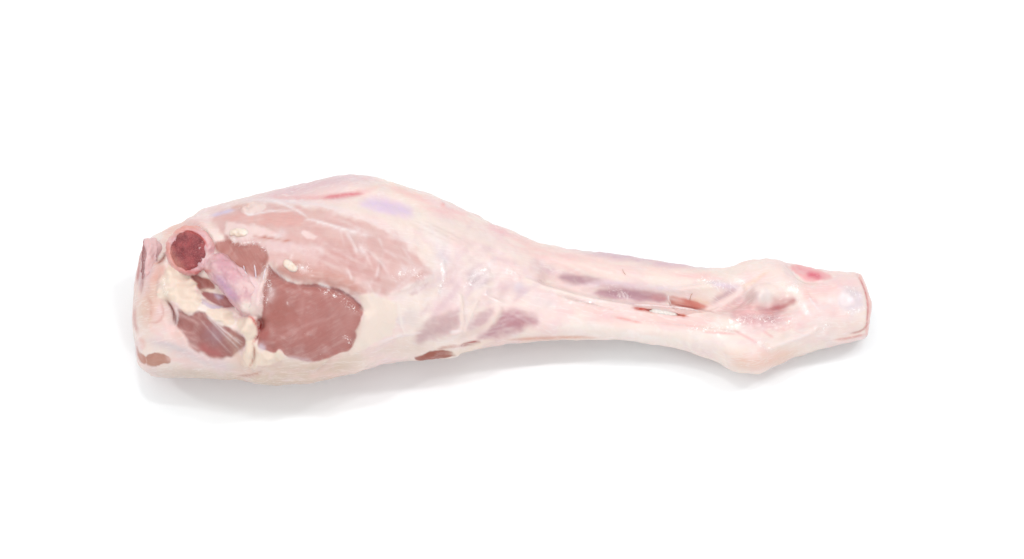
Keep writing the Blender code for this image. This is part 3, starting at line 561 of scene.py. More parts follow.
FINE_STROKES = strokes(
    # rump: outer strips, crevices, membrane and the fat's shading
    ((190, 96, 94), 0.85, 1.8, (144, 247), (140, 260), (137, 284)),
    ((214, 184, 188), 0.85, 2.2, (149, 246), (145, 258), (141, 280), (139, 290)),
    ((176, 96, 92), 0.6, 1.2, (149, 253), (146, 268), (143, 281), (141, 294)),
    ((214, 150, 142), 0.7, 2.0, (135, 306), (134, 320), (138, 334)),
    ((222, 164, 152), 0.6, 1.3, (147, 296), (153, 306), (150, 318)),
    ((222, 164, 152), 0.6, 1.2, (160, 300), (164, 312), (160, 322), (148, 323)),
    ((238, 182, 166), 0.75, 4.5, (150, 283), (160, 274), (163, 264)),
    ((220, 150, 130), 0.5, 2.0, (152, 264), (162, 262), (166, 254)),
    # the next two strokes: dark lines in crevices of the fat, partly the lean's red and partly
    # painted shade
    ((150, 90, 78), 0.8, 1.3, (158, 264), (163, 259), (166, 252)),
    ((132, 44, 36), 0.95, 1.5, (166, 300), (171, 306), (174, 313), (175, 325)),
    (SKIN_WHITE, 0.8, 1.0, (175, 306), (178, 314), (177, 324)),
    ((240, 180, 168), 0.5, 2.5, (139, 338), (144, 342), (142, 350)),
    # bluish tint over the lean: partly the fascia's own colour, partly a painted sheen
    ((168, 130, 138), 0.6, 9, (206, 326), (216, 336), (224, 340)),
    ((196, 108, 106), 0.6, 5, (198, 344), (210, 352), (224, 354)),
    ((206, 168, 150), 0.5, 6, (226, 334), (238, 344), (234, 354)),
    (SKIN_WHITE, 0.4, 1.0, (203, 313), (222, 332), (240, 350)),
    (SKIN_WHITE, 0.45, 1.0, (208, 316), (228, 334), (244, 347)),
    (SKIN_WHITE, 0.25, 1.0, (199, 318), (216, 338), (232, 354)),
    (SKIN_WHITE, 0.3, 1.0, (216, 324), (230, 335), (244, 343)),
    ((222, 172, 160), 0.7, 4, (238, 314), (246, 313), (250, 311)),
    ((248, 230, 212), 0.9, 1.4, (199, 290), (212, 290), (224, 293)),
    (RED, 0.85, 1.3, (245, 315), (252, 317), (255, 323), (260, 330), (258, 337), (252, 344)),
    # the pit behind the hip bone: partly the lean's dark red, partly painted shade
    ((138, 34, 30), 1.0, 3.0, (258, 317), (260, 323), (261, 332)),
    ((176, 90, 84), 0.7, 5, (266, 330), (264, 342)),
    ((196, 128, 108), 0.7, 1.1, (253, 343), (255, 353), (253, 361), (248, 369)),
    ((196, 128, 108), 0.7, 1.1, (238, 376), (254, 375), (262, 371)),
    ((236, 204, 184), 0.6, 4, (234, 352), (242, 360), (240, 368)),
    ((222, 214, 226), 0.6, 4, (258, 345), (266, 350)),
    ((224, 208, 196), 0.5, 5, (150, 372), (190, 377), (240, 382)),
    # near side of the lean eye, the eye and the crease over it
    ((247, 220, 212), 0.9, 2.6, (267, 263), (264, 280), (260, 292), (259, 303)),
    ((242, 210, 212), 0.85, 4.0, (246, 274), (254, 284), (256, 296)),
    ((250, 232, 220), 0.9, 4.5, (240, 306), (250, 310), (258, 306)),
    (SKIN_WHITE, 0.5, 4.0, (270, 286), (272, 296), (266, 302)),
    (SKIN_WHITE, 0.8, 1.0, (268, 263), (277, 273), (287, 280), (298, 284)),
    # painted shade: dark line along the crease over the eye
    ((150, 96, 96), 0.55, 1.2, (300, 286), (322, 286), (336, 290), (350, 296), (362, 308)),
    # painted highlight: white glint in the crease
    (SKIN_WHITE, 0.8, 1.3, (318, 283), (326, 286), (331, 288)),
    # painted shade: dark line along the crease
    ((140, 70, 74), 0.6, 1.0, (332, 287), (345, 292), (357, 301), (364, 311)),
    ((172, 102, 92), 0.8, 16.0, (286, 300), (278, 314), (276, 330)),
    ((198, 140, 132), 0.5, 10.0, (338, 304), (350, 318), (344, 340)),
    ((206, 156, 150), 0.35, 2.0, (300, 328), (314, 322), (330, 318)),
    ((206, 156, 150), 0.35, 1.6, (272, 336), (290, 334), (302, 328)),
    ((206, 156, 150), 0.3, 3.0, (302, 296), (303, 304), (300, 310)),
    ((214, 168, 162), 0.5, 1.3, (280, 337), (286, 338)),
    (SKIN_WHITE, 0.7, 1.1, (287, 303), (288, 303)),
    ((226, 204, 206), 0.6, 2.0, (286, 357), (300, 359), (314, 362)),
    # long muscle
    ((226, 128, 136), 0.85, 2.2, (322, 198), (340, 196), (352, 194), (364, 193)),
    ((242, 226, 226), 0.8, 2.0, (240, 199), (270, 200), (300, 203), (330, 206), (362, 211)),
    ((246, 230, 218), 0.8, 3.0, (324, 204), (352, 208), (382, 215), (410, 224), (430, 236)),
    ((218, 206, 232), 0.9, 1.8, (210, 216), (222, 213), (236, 209)),
    ((228, 178, 164), 0.8, 1.8, (231, 209), (240, 206), (250, 204)),
    (SKIN_WHITE, 0.9, 1.2, (241, 211), (250, 215), (258, 214), (268, 211), (280, 211), (292, 210)),
    (SKIN_WHITE, 0.8, 1.3, (289, 201), (296, 200)),
    (SKIN_WHITE, 0.85, 1.5, (267, 198), (287, 205), (302, 213), (308, 218)),
    (SKIN_WHITE, 0.95, 1.6, (302, 223), (308, 219), (320, 222), (340, 228), (358, 233), (372, 237)),
    (SKIN_WHITE, 0.56, 1.8, (345, 231), (353, 242), (357, 253)),
    (SKIN_WHITE, 0.5, 1.3, (308, 202), (340, 211), (376, 224), (410, 244)),
    (SKIN_WHITE, 0.28, 1.6, (326, 217), (352, 224), (380, 240)),
    (SKIN_WHITE, 0.28, 1.5, (330, 206), (366, 216), (398, 232)),
    ((204, 126, 106), 0.8, 1.0, (252, 236), (276, 239), (299, 243)),
    (SKIN_WHITE, 0.5, 5.0, (276, 232), (284, 235), (272, 236)),
    (SKIN_WHITE, 0.39, 1.6, (358, 242), (365, 253), (372, 267)),
    (SKIN_WHITE, 0.49, 1.6, (347, 269), (350, 274), (352, 280)),
    (SKIN_WHITE, 0.49, 1.5, (379, 266), (376, 278)),
    (SKIN_WHITE, 0.35, 1.8, (368, 250), (382, 263), (389, 275)),
    (SKIN_WHITE, 0.32, 1.6, (383, 249), (398, 258)),
    (SKIN_WHITE, 0.35, 1.5, (378, 236), (383, 248)),
    (SKIN_WHITE, 0.32, 1.5, (402, 247), (411, 260)),
    (SKIN_WHITE, 0.42, 2.0, (393, 291), (402, 284), (411, 277), (422, 268)),
    (SKIN_WHITE, 0.45, 5.0, (358, 246), (366, 256)),
    (SKIN_WHITE, 0.4, 6.0, (396, 276), (406, 270), (418, 268)),
    (SKIN_WHITE, 0.5, 1.2, (293, 253), (290, 260)),
    (SKIN_WHITE, 0.45, 3.0, (299, 268), (308, 267)),
    (SKIN_WHITE, 0.35, 5.0, (300, 250), (326, 252)),
    # knee: folds of membrane
    ((244, 228, 222), 0.85, 3.0, (396, 306), (406, 293), (420, 282), (436, 279)),
    ((250, 238, 230), 0.9, 2.0, (398, 300), (401, 322), (405, 334)),
    (SKIN_WHITE, 0.85, 1.3, (376, 344), (390, 338), (405, 335), (422, 333)),
    ((245, 228, 218), 0.95, 2.2, (460, 292), (463, 304), (461, 316), (463, 326), (459, 332)),
    (SKIN_WHITE, 0.9, 1.5, (462, 331), (450, 332)),
    ((245, 228, 218), 0.9, 1.7, (483, 291), (474, 306), (467, 322), (463, 331)),
    ((238, 218, 208), 0.95, 3.2, (456, 338), (476, 332), (487, 326), (495, 319), (503, 307)),
    ((226, 202, 194), 0.4, 1.0, (415, 221), (440, 232), (466, 247)),
    ((226, 202, 194), 0.4, 1.0, (420, 219), (446, 231), (470, 244)),
    ((226, 202, 194), 0.35, 1.0, (410, 224), (432, 234), (456, 246)),
    # painted highlights: white glints on the wet knee membrane, in this stroke and the next three
    (SKIN_WHITE, 0.9, 1.4, (443, 264), (444, 272), (443, 281)),
    (SKIN_WHITE, 0.7, 2.4, (438, 293), (443, 290)),
    (SKIN_WHITE, 0.6, 1.4, (468, 284), (476, 274), (484, 272)),
    (SKIN_WHITE, 0.6, 1.4, (472, 286), (480, 280), (485, 272)),
    ((246, 178, 174), 0.7, 1.8, (441, 204), (445, 205)),
    # dark red slit by the calf: partly the lean's red, partly painted shade
    ((168, 52, 44), 0.95, 1.4, (460, 346), (469, 343), (479, 341)),
    # painted shade beside the slit
    ((206, 150, 136), 0.7, 1.6, (436, 350), (446, 347), (460, 346)),
    ((250, 232, 216), 0.95, 2.6, (447, 353), (458, 354), (472, 349), (484, 342), (496, 339)),
    # shank
    ((226, 168, 144), 0.7, 1.6, (506, 340), (546, 338), (579, 337), (597, 338)),
    ((192, 150, 162), 0.7, 4.0, (602, 293), (620, 293), (638, 295)),
    ((224, 168, 168), 0.75, 3.6, (650, 297), (668, 299)),
    (SKIN_WHITE, 0.8, 0.9, (619, 292), (620, 298)),
    (SKIN_WHITE, 0.8, 0.9, (621, 290), (625, 299)),
    (SKIN_WHITE, 0.7, 0.9, (627, 294), (628, 300)),
    ((240, 150, 142), 0.55, 1.3, (614, 317), (628, 320), (642, 323)),
    ((252, 224, 216), 0.95, 1.8, (634, 305), (662, 306), (688, 310), (702, 312)),
    ((246, 214, 190), 0.8, 1.9, (690, 298.5), (702, 301), (712, 305)),
    ((172, 84, 76), 0.85, 1.1, (672, 304), (688, 307), (704, 310), (714, 312)),
    ((254, 230, 222), 0.95, 2.6, (685, 316), (711, 309), (728, 299), (746, 289)),
    ((246, 188, 184), 0.8, 1.1, (702, 332), (720, 333), (736, 334)),
    ((252, 236, 224), 0.7, 2.2, (696, 327), (720, 327), (744, 326)),
    ((196, 70, 48), 0.95, 1.9, (632, 307.6), (640, 308.8), (650, 310.4), (658, 311.6)),
    ((222, 104, 76), 0.9, 1.7, (668, 313.2), (678, 314.8), (688, 316.2)),
    # hock
    ((230, 108, 128), 0.85, 3.2, (806, 274), (814, 275), (822, 278)),
    ((214, 160, 162), 0.6, 5.0, (736, 318), (752, 321), (770, 324)),
    # painted shade: darkest line of the hollow beside the hock's dome
    ((204, 128, 132), 0.7, 2.4, (770, 309), (779, 308), (788, 305)),
    (SKIN_WHITE, 0.7, 1.4, (772, 347), (787, 342), (806, 335), (815, 330)),
    (SKIN_WHITE, 0.7, 1.0, (808, 296), (813, 303), (820, 311)),
    ((246, 186, 184), 0.6, 1.4, (734, 330), (748, 338), (760, 344)),
    ((246, 186, 184), 0.6, 1.4, (762, 330), (774, 338)),
    ((220, 152, 144), 0.7, 1.2, (834, 340), (850, 338), (866, 334)),
    ((196, 124, 120), 0.7, 0.9, (850, 334), (862, 331), (868, 324)),
    ((206, 96, 96), 0.75, 1.0, (857, 274), (863, 285), (867, 298), (868, 310), (866, 330)),
    (SKIN_WHITE, 0.8, 1.2, (848, 314), (856, 313), (864, 308)),
    ((248, 206, 160), 0.4, 2.0, (740, 287), (748, 285), (770, 270)),
)

# Painted highlights: white specks of glint on the wet membrane, given by half width in pixels and
# path
PAINTED_GLINT_SPECKS = (
    (2.4, ((226, 240), (244, 243), (256, 242), (266, 250))),
    (4.0, ((266, 268), (268, 286), (264, 302))),
    (3.0, ((322, 290), (340, 297), (356, 310))),
    (2.6, ((346, 338), (352, 346))),
    (4.0, ((300, 268), (308, 268))),
    (4.0, ((468, 286), (478, 274), (488, 270))),
    (3.0, ((442, 266), (444, 280), (440, 291))),
    (3.0, ((508, 270), (516, 276))),
    (5.0, ((786, 288), (794, 284), (797, 292))),
    (2.5, ((797, 294), (801, 306), (808, 314))),
    (3.0, ((738, 280), (744, 283))),
    (3.0, ((758, 341), (770, 349))),
    (3.0, ((848, 312), (862, 309))),
    (3.0, ((818, 330), (828, 325))),
    (3.0, ((164, 280), (166, 292))),
    (4.0, ((396, 276), (410, 270), (420, 276))),
    (4.0, ((612, 290), (626, 296))),
    (5.0, ((732, 322), (760, 319), (790, 322))),
    (4.0, ((700, 280), (728, 286))),
    (4.0, ((694, 328), (736, 328))),
    (3.6, ((848, 288), (858, 296))),
)

# Lines along which the tissues run, in pixels, and how far each of them leads
GUIDE_REACH = 22.0
GUIDES = (
    ((140, 270), (190, 222), (280, 196), (360, 190), (430, 210), (500, 240), (560, 258)),
    ((560, 258), (640, 272), (720, 277), (762, 268), (860, 276)),
    ((210, 238), (280, 236), (340, 248), (396, 272), (432, 292)),
    ((262, 336), (300, 322), (345, 298)),
    ((140, 372), (250, 382), (330, 370), (400, 348), (470, 336), (540, 324), (620, 327)),
    ((620, 327), (700, 343), (745, 364), (800, 347), (864, 331)),
    ((430, 300), (480, 286), (540, 280), (600, 299), (640, 306), (700, 312), (748, 292)),
    ((748, 318), (800, 306), (864, 302)),
    ((178, 312), (210, 330), (240, 352)),
)

# Patches of fine streaks: colour, how many, their strength, half width and length in
# pixels, their turn from the flow and its spread in degrees, and the patch's outline. Their
# lengths, strengths and widths vary by these factors, and they wobble by some degrees.
WISP_STEPS = 5
WISP_LENGTHS, WISP_STRENGTHS, WISP_WIDTHS = (0.4, 1.5), (0.4, 1.2), (0.7, 1.4)
WISP_WOBBLE = 5.0
Wisps = namedtuple("Wisps", "colour count strength half_width length turn spread outline")
WISPS = (
    Wisps(SKIN_WHITE, 44, 0.20, 1.6, 40, 0, 9, (
        (205, 214), (262, 200), (330, 196), (400, 214), (440, 262), (430, 292), (380, 294),
        (300, 280), (262, 258), (212, 240),
    )),
    Wisps(LEAN, 34, 0.12, 3.4, 44, 0, 6, (
        (215, 218), (262, 206), (330, 210), (400, 236), (426, 270), (400, 288), (330, 278),
        (270, 256), (222, 236),
    )),
    Wisps(SKIN_WHITE, 26, 0.22, 1.7, 17, 62, 26, (
        (330, 222), (372, 226), (420, 250), (434, 276), (400, 300), (350, 286), (336, 250),
    )),
    Wisps(SKIN_WHITE, 70, 0.34, 1.3, 24, -40, 26, (
        (384, 296), (404, 280), (440, 256), (500, 262), (508, 300), (470, 310), (406, 310),
    )),
    Wisps(MAUVE, 46, 0.30, 3.0, 30, -30, 22, (
        (400, 300), (440, 256), (500, 250), (540, 270), (520, 306), (470, 320), (410, 330),
    )),
    Wisps(SKIN_WHITE, 36, 0.20, 1.2, 24, 0, 14, (
        (408, 344), (424, 320), (462, 304), (506, 304), (546, 318), (520, 334), (470, 344),
    )),
    Wisps(SKIN_WHITE, 14, 0.24, 1.0, 26, 0, 10, (
        (548, 274), (600, 276), (668, 290), (668, 302), (620, 302), (580, 288),
    )),
    Wisps(LEAN_PALE, 14, 0.10, 1.8, 30, -6, 14, (
        (268, 274), (300, 286), (346, 296), (360, 314), (350, 348), (300, 356), (266, 340),
    )),
    Wisps(LEAN_DEEP, 12, 0.12, 7.0, 24, -6, 12, (
        (268, 290), (300, 290), (340, 300), (352, 330), (300, 352), (266, 336),
    )),
    Wisps(CREAM, 60, 0.34, 1.8, 60, 0, 4, (
        (410, 206), (430, 208), (520, 240), (640, 266), (740, 268), (740, 280), (640, 282),
        (560, 270), (480, 256), (430, 236), (420, 220),
    )),
    Wisps(ROSE, 40, 0.24, 1.8, 50, 0, 4, (
        (380, 186), (450, 206), (540, 244), (640, 262), (740, 268), (740, 276),
        (640, 276), (540, 262), (450, 226), (400, 200),
    )),
    Wisps(BLUSH, 26, 0.22, 2.0, 46, 0, 4, (
        (540, 328), (560, 312), (620, 312), (700, 324), (760, 330), (760, 366), (700, 346),
        (620, 334), (550, 336),
    )),
    Wisps(CREAM, 50, 0.34, 2.0, 46, 0, 4, (
        (540, 330), (560, 318), (620, 320), (700, 330), (800, 340), (760, 366), (700, 346),
        (620, 334), (550, 336),
    )),
    Wisps(ROSE, 46, 0.30, 1.5, 20, 0, 22, (
        (722, 306), (760, 312), (800, 306), (812, 326), (770, 340), (730, 330),
    )),
    Wisps(SKIN_WHITE, 26, 0.26, 1.2, 16, 20, 22, (
        (690, 318), (740, 318), (800, 312), (812, 330), (770, 344), (700, 334),
    )),
    Wisps(SKIN_WHITE, 36, 0.26, 2.0, 26, 0, 16, (
        (790, 286), (850, 284), (862, 300), (858, 326), (800, 336), (786, 312),
    )),
    Wisps(BLUSH, 40, 0.30, 2.2, 34, 0, 10, (
        (140, 262), (162, 300), (166, 335), (230, 370), (340, 372), (320, 384), (180, 378),
        (140, 340),
    )),
    Wisps(MAUVE, 24, 0.24, 1.6, 40, 0, 4, (
        (560, 268), (600, 274), (640, 288), (660, 300), (620, 298), (580, 286),
    )),
)

# Wet places that catch the light: half width in pixels and path
GLINTS = (
    (3.0, ((165, 282), (166, 291))),
    (2.0, ((147, 285), (149, 288))),
    (2.0, ((320, 284), (329, 288))),
    (2.4, ((443, 264), (444, 279), (440, 292))),
    (6.0, ((470, 284), (478, 276), (486, 270))),
    (2.5, ((509, 270), (517, 276))),
    (3.0, ((539, 280), (551, 284))),
    (4.0, ((487, 297), (503, 302))),
    (5.0, ((788, 294), (797, 284))),
    (2.4, ((796, 296), (808, 314))),
    (4.0, ((818, 331), (828, 325))),
    (6.0, ((846, 300), (857, 290))),
    (6.0, ((730, 326), (760, 324))),
    (6.0, ((720, 332), (736, 328))),
    (5.0, ((738, 280), (743, 284))),
    (3.0, ((566, 300), (600, 304))),
    (4.0, ((352, 236), (380, 262))),
    (4.0, ((756, 341), (770, 350))),
)

# Sawn bones, as in the solid, and how far their marrow swells out
SAWN_BONES = {
    "hip": {
        "sight": (28.4, 14.0),
        "under": 0.0,
        "looks": (-0.18, -0.47, 0.864),
        "half": (0.0100, 0.0106),
        "rim": 0.0015,
        "proud": 0.0055,
        "buried": 0.0170,
        "narrows": 0.0036,
        "marrow": 0.0080,
        "swell": 0.0012,
        "collar": 0.0020,
        "voxel": 0.00042,
    },
    "blade": {
        "sight": (6.5, 6.5),
        "under": 0.0,
        "looks": (-0.955, -0.120, 0.270),
        "half": (0.0055, 0.0138),
        "rim": 0.0013,
        "proud": 0.0016,
        "buried": 0.0085,
        "narrows": 0.0014,
        "marrow": 0.0045,
        "swell": 0.0004,
        "collar": 0.0,
        "voxel": 0.00034,
    },
    "cannon": {
        "sight": (355.0, -14.5),
        "under": 0.0125,
        "looks": (1.0, 0.0, 0.0),
        "half": (0.0068, 0.0078),
        "rim": 0.0024,
        "proud": 0.0052,
        "buried": 0.0320,
        "narrows": 0.0024,
        "marrow": 0.0200,
        "swell": 0.0002,
        "collar": 0.0,
        "voxel": 0.00038,
    },
}

# Shaft of the hip bone: along, up the sight and height over the flesh, and radius, in mm
HIP_SHAFT = (
    (60.0, -17.0, -12.0, 5.5),
    (57.5, -12.5, -8.2, 7.2),
    (54.0, -7.0, -5.4, 7.6),
    (48.5, -0.5, -3.9, 7.2),
    (42.0, 5.5, -4.2, 6.5),
    (38.5, 6.6, -10.5, 5.6),
)
BONE_STROKES = strokes(
    ((236, 200, 198), 0.95, 9.0, (154, 232), (152, 252), (150, 270), (148, 292)),
    ((238, 176, 166), 0.8, 5.0, (202, 222), (212, 234), (220, 250)),
    ((236, 164, 146), 0.85, 5.0, (168, 238), (178, 228), (190, 224), (204, 229)),
    ((234, 158, 144), 0.85, 4.5, (166, 238), (168, 252), (176, 264), (186, 273)),
    ((226, 170, 180), 0.85, 5.0, (214, 250), (226, 262), (240, 276)),
    (BONE_RED, 0.95, 1.1, (181, 231), (190, 231), (199, 235), (205, 241), (208, 249)),
    (BONE_RED, 0.6, 3.0, (182, 268), (192, 273), (204, 272), (213, 270)),
    ((220, 164, 176), 0.8, 4.0, (216, 262), (226, 272), (236, 284)),
    (BONE_PURPLE, 0.9, 5.0, (214, 274), (226, 288), (238, 302)),
    ((244, 208, 212), 0.7, 3.5, (232, 264), (244, 276), (254, 288)),
    ((243, 212, 208), 0.9, 5.0, (247, 279), (254, 289), (257, 300)),
    (CREAM, 0.95, 6.0, (240, 304), (250, 308), (260, 304)),
)

# Pads of fat on the flesh: name, height and depth in mm, outline in pixels
FAT_PADS = (
    ("fat_nugget_left", 1.2, 0.8, (
        (229, 232), (233, 229), (240, 228), (247, 230), (249, 234), (244, 237), (236, 237),
        (230, 236),
    )),
    ("fat_nugget_right", 1.3, 0.8, (
        (283, 262), (286, 259), (291, 260), (295, 265), (299, 269), (295, 272), (289, 270),
        (284, 267),
    )),
)

# Threads on the flesh: name, look, half width and height in mm, path in pixels
STRANDS = (
    ("fibre_1", "fibre", 0.30, 0.3, ((237, 267), (239, 269), (242, 273))),
    ("fibre_2", "fibre", 0.34, 0.3, ((243.6, 265.6), (245, 271), (248, 277.5))),
    ("fibre_3", "fibre", 0.36, 0.3, ((254.5, 264.5), (255.4, 271), (255.6, 278.6))),
    ("fibre_4", "fibre", 0.36, 0.3, ((266.4, 267.7), (265, 274), (263.2, 280.7))),
    ("shank_strand", "membrane", 0.70, 0.1, ((634, 305), (662, 306.5), (688, 309), (700, 311.6))),
    # painted light: a pale fill deep in the slit stands in for the lit floor seen through it
    ("slit_cord", "cord", 1.8, -2.9, ((648, 310), (663, 312.4), (679, 315))),
    ("membrane_edge", "membrane", 0.35, 0.3, ((668, 294), (668.5, 301), (672, 306.5))),
    ("hair_1", "hair", 0.10, 0.5, ((622.5, 269.5), (623, 272), (625.7, 275.3))),
    ("hair_2", "hair", 0.12, 0.5, ((692.7, 292.5), (690.4, 296), (690, 301.4))),
)

# Studio: the floor's half size and how far it lies under the leg in metres, and each
# light's name, place, size in metres and power in watts
SKY_STRENGTH = 0.70
FLOOR_HALF = 3.0
FLOOR_DROP = 0.0003
LIGHTS = (
    ("key", (-0.50, 0.25, 1.45), 1.6, 5.0),
    ("front", (0.25, -1.30, 0.75), 0.9, 2.2),
    ("left_window", (-0.95, 0.08, 0.72), 0.08, 1.4),
    ("right_window", (0.74, 0.13, 0.86), 0.08, 1.7),
    ("top_window", (-0.16, 0.06, 1.08), 0.08, 1.4),
    ("hock_window", (0.42, 0.13, 1.06), 0.08, 1.4),
    ("front_window", (0.13, -0.82, 0.80), 0.08, 1.3),
)


def smooth_through(stations, values, places):
    """Values at places on a curve through the stations that never overshoots them."""
    x = np.asarray(stations, float)
    y = np.asarray(values, float)
    run = np.diff(x)
    slope = np.diff(y) / run
    tangent = np.zeros(len(x))
    same_way = slope[:-1] * slope[1:] > 0
    w1 = 2 * run[1:] + run[:-1]
    w2 = run[1:] + 2 * run[:-1]
    blend = np.where(same_way, slope[:-1] * slope[1:], 1.0)
    below = np.where(same_way, w1 * slope[1:] + w2 * slope[:-1], 1.0)
    tangent[1:-1] = np.where(same_way, (w1 + w2) * blend / below, 0.0)
    tangent[0] = slope[0]
    tangent[-1] = slope[-1]
    i = np.clip(np.searchsorted(x, places) - 1, 0, len(x) - 2)
    t = (places - x[i]) / run[i]
    return (
        (1 + 2 * t) * (1 - t) ** 2 * y[i]
        + t * (1 - t) ** 2 * run[i] * tangent[i]
        + t * t * (3 - 2 * t) * y[i + 1]
        + t * t * (t - 1) * run[i] * tangent[i + 1]
    )


def smoothstep(low, high, value):
    """0 below low, 1 above high, and an easy slope between them."""
    t = np.clip((value - low) / (high - low), 0.0, 1.0)
    return t * t * (3 - 2 * t)


def in_picture(points):
    """Where points show in the picture, in pixels."""
    q = points - SIGHT_TARGET
    nearer = SIGHT_DISTANCE / (SIGHT_DISTANCE - q @ TOWARD)
    across = MIDDLE_X + q[:, 0] * nearer / PIXEL
    down = MIDDLE_Y - (q @ UPWARD) * nearer / PIXEL
    return np.stack([across, down], axis=1)


def picture_to_mm(pixels):
    """Pixels as (along, up the sight) in mm, as the solid's own places are given."""
    return (np.asarray(pixels, float) - [START_X, MIDDLE_Y]) * [PIXEL / MM, -PIXEL / MM]


def section_points(along, angles):
    """The base surface at places along the leg (mm) and angles round it."""
    table = np.array(SECTIONS, float)
    low, high, under, top = (
        smooth_through(table[:, 0], table[:, k], along) for k in range(1, 5)
    )
    conjugate = ROUNDNESS / (ROUNDNESS - 1)
    sin_e, cos_e = math.sin(SIGHT_ELEVATION), math.cos(SIGHT_ELEVATION)
    half_tall = (top - under) / 2 * MM
    mid_z = (top + under) / 2 * MM
    nearness = 1.0
    for _ in range(3):
        half_seen = (high - low) / 2 * MM * nearness
        mid_seen = (high + low) / 2 * MM * nearness
        spread = half_seen**conjugate - (half_tall * cos_e) ** conjugate
        half_wide = np.maximum(spread, 1e-9) ** (1 / conjugate) / sin_e
        rise = (mid_z - SIGHT_TARGET[2]) * cos_e
        mid_y = SIGHT_TARGET[1] + (mid_seen - rise) / sin_e
        depth = (mid_y - SIGHT_TARGET[1]) * TOWARD[1] + (
            mid_z - SIGHT_TARGET[2]
        ) * TOWARD[2]
        nearness = 1 - depth / SIGHT_DISTANCE
    x = SIGHT_TARGET[0] + (SIGHT_START + along * MM - SIGHT_TARGET[0]) * nearness
    c, s = np.cos(angles), np.sin(angles)
    power = 2 / ROUNDNESS
    y = mid_y + half_wide * np.sign(c) * np.abs(c) ** power
    z = mid_z + half_tall * np.sign(s) * np.abs(s) ** power
    return np.stack([x, y, z], axis=-1)


def nearest_on_path(places, path):
    """Distance of each place from a path, and how far along the path it is, 0 to 1."""
    points = np.array(path, float)
    nearest = np.full(len(places), 1e9)
    share = np.full(len(places), 0.5)
    if len(points) == 1:
        return np.linalg.norm(places - points[0], axis=1), share
    lengths = np.linalg.norm(np.diff(points, axis=0), axis=1)
    reached = np.concatenate([[0.0], np.cumsum(lengths)]) / lengths.sum()
    for k, (a, b) in enumerate(zip(points[:-1], points[1:])):
        run = b - a
        t = np.clip((places - a) @ run / (run @ run), 0, 1)
        gap = np.linalg.norm(places - (a + t[:, None] * run), axis=1)
        share = np.where(gap < nearest, reached[k] + t * (reached[k + 1] - reached[k]), share)
        nearest = np.minimum(nearest, gap)
    return nearest, share


def distance_to_path(places, path):
    """Distance of each place from a path of straight runs."""
    return nearest_on_path(places, path)[0]


def rounded(path, closed=False, rounds=2):
    """A path with its corners cut, so that it runs as a smooth curve."""
    points = np.array(path, float)
    if len(points) < 3:
        return points
    for _ in range(rounds):
        following = np.roll(points, -1, axis=0)
        if not closed:
            following = following[:-1]
            first, last = points[:1], points[-1:]
            points = points[:-1]
        cut = np.stack([points * 0.75 + following * 0.25, points * 0.25 + following * 0.75], axis=1)
        cut = cut.reshape(-1, points.shape[1])
        points = cut if closed else np.concatenate([first, cut[1:-1], last])
    return points


def inside_outline(places, outline):
    """How far places are inside an outline, up to EDGE_REACH; negative outside it."""
    points = rounded(outline, closed=True)
    far = np.full(len(places), -EDGE_REACH)
    low, high = points.min(axis=0) - EDGE_REACH, points.max(axis=0) + EDGE_REACH
    near = np.all((places > low) & (places < high), axis=1)
    if not near.any():
        return far
    p = places[near]
    nearest = np.full(len(p), 1e9)
    inside = np.zeros(len(p), bool)
    for a, b in zip(points, np.roll(points, -1, axis=0)):
        run = b - a
        t = np.clip((p - a) @ run / (run @ run + 1e-12), 0, 1)
        nearest = np.minimum(nearest, np.linalg.norm(p - (a + t[:, None] * run), axis=1))
        crosses = (a[1] > p[:, 1]) != (b[1] > p[:, 1])
        if abs(run[1]) > 1e-9:
            where = a[0] + (p[:, 1] - a[1]) * run[0] / run[1]
            inside ^= crosses & (p[:, 0] < where)
    far[near] = np.clip(np.where(inside, nearest, -nearest), -EDGE_REACH, EDGE_REACH)
    return far


def soft_noise(points, size, seed, waves=28):
    """Smooth noise about 0 from seeded waves whose length is about the given size."""
    random = np.random.default_rng(seed)
    total = np.zeros(len(points))
    for _ in range(waves):
        way = random.normal(size=3)
        way *= 2 * math.pi / (np.linalg.norm(way) * size * random.uniform(0.7, 1.6))
        total += np.sin(points @ way + random.uniform(0, 2 * math.pi))
    return total * math.sqrt(2 / waves)


def layered_noise(points, layers):
    """Sum of layers of noise: the size, height and seed of each."""
    return sum(soft_noise(points, size, seed) * tall for size, tall, seed in layers)


def relief_height(places, reliefs):
    """Sum of ridges and furrows at these places, in metres."""
    height = np.zeros(len(places))
    for *path, half_width, peak in reliefs:
        gap = distance_to_path(places, rounded(path, rounds=1))
        height += peak * MM * np.exp(-((gap / half_width) ** 2))
    return height


def ring_stations():
    """Places of the rings along the leg, close together at both ends."""
    rump = RUMP_END * (1 - np.cos(np.linspace(0, math.pi / 2, RINGS_RUMP + 1)[1:]))
    hock_run = LEG_MM - HOCK_START
    hock = HOCK_START + hock_run * np.sin(np.linspace(0, math.pi / 2, RINGS_HOCK + 1))[:-1]
    body = np.linspace(RUMP_END, HOCK_START, RINGS_BODY)[1:-1]
    return np.concatenate([rump, body, hock])


def ring_angles():
    """Angles round the leg, closer together on the side that is seen."""
    seen = math.pi - SIGHT_ELEVATION
    turn = np.arange(SIDES) * 2 * math.pi / SIDES
    return turn - CROWDING * np.sin(turn - seen)


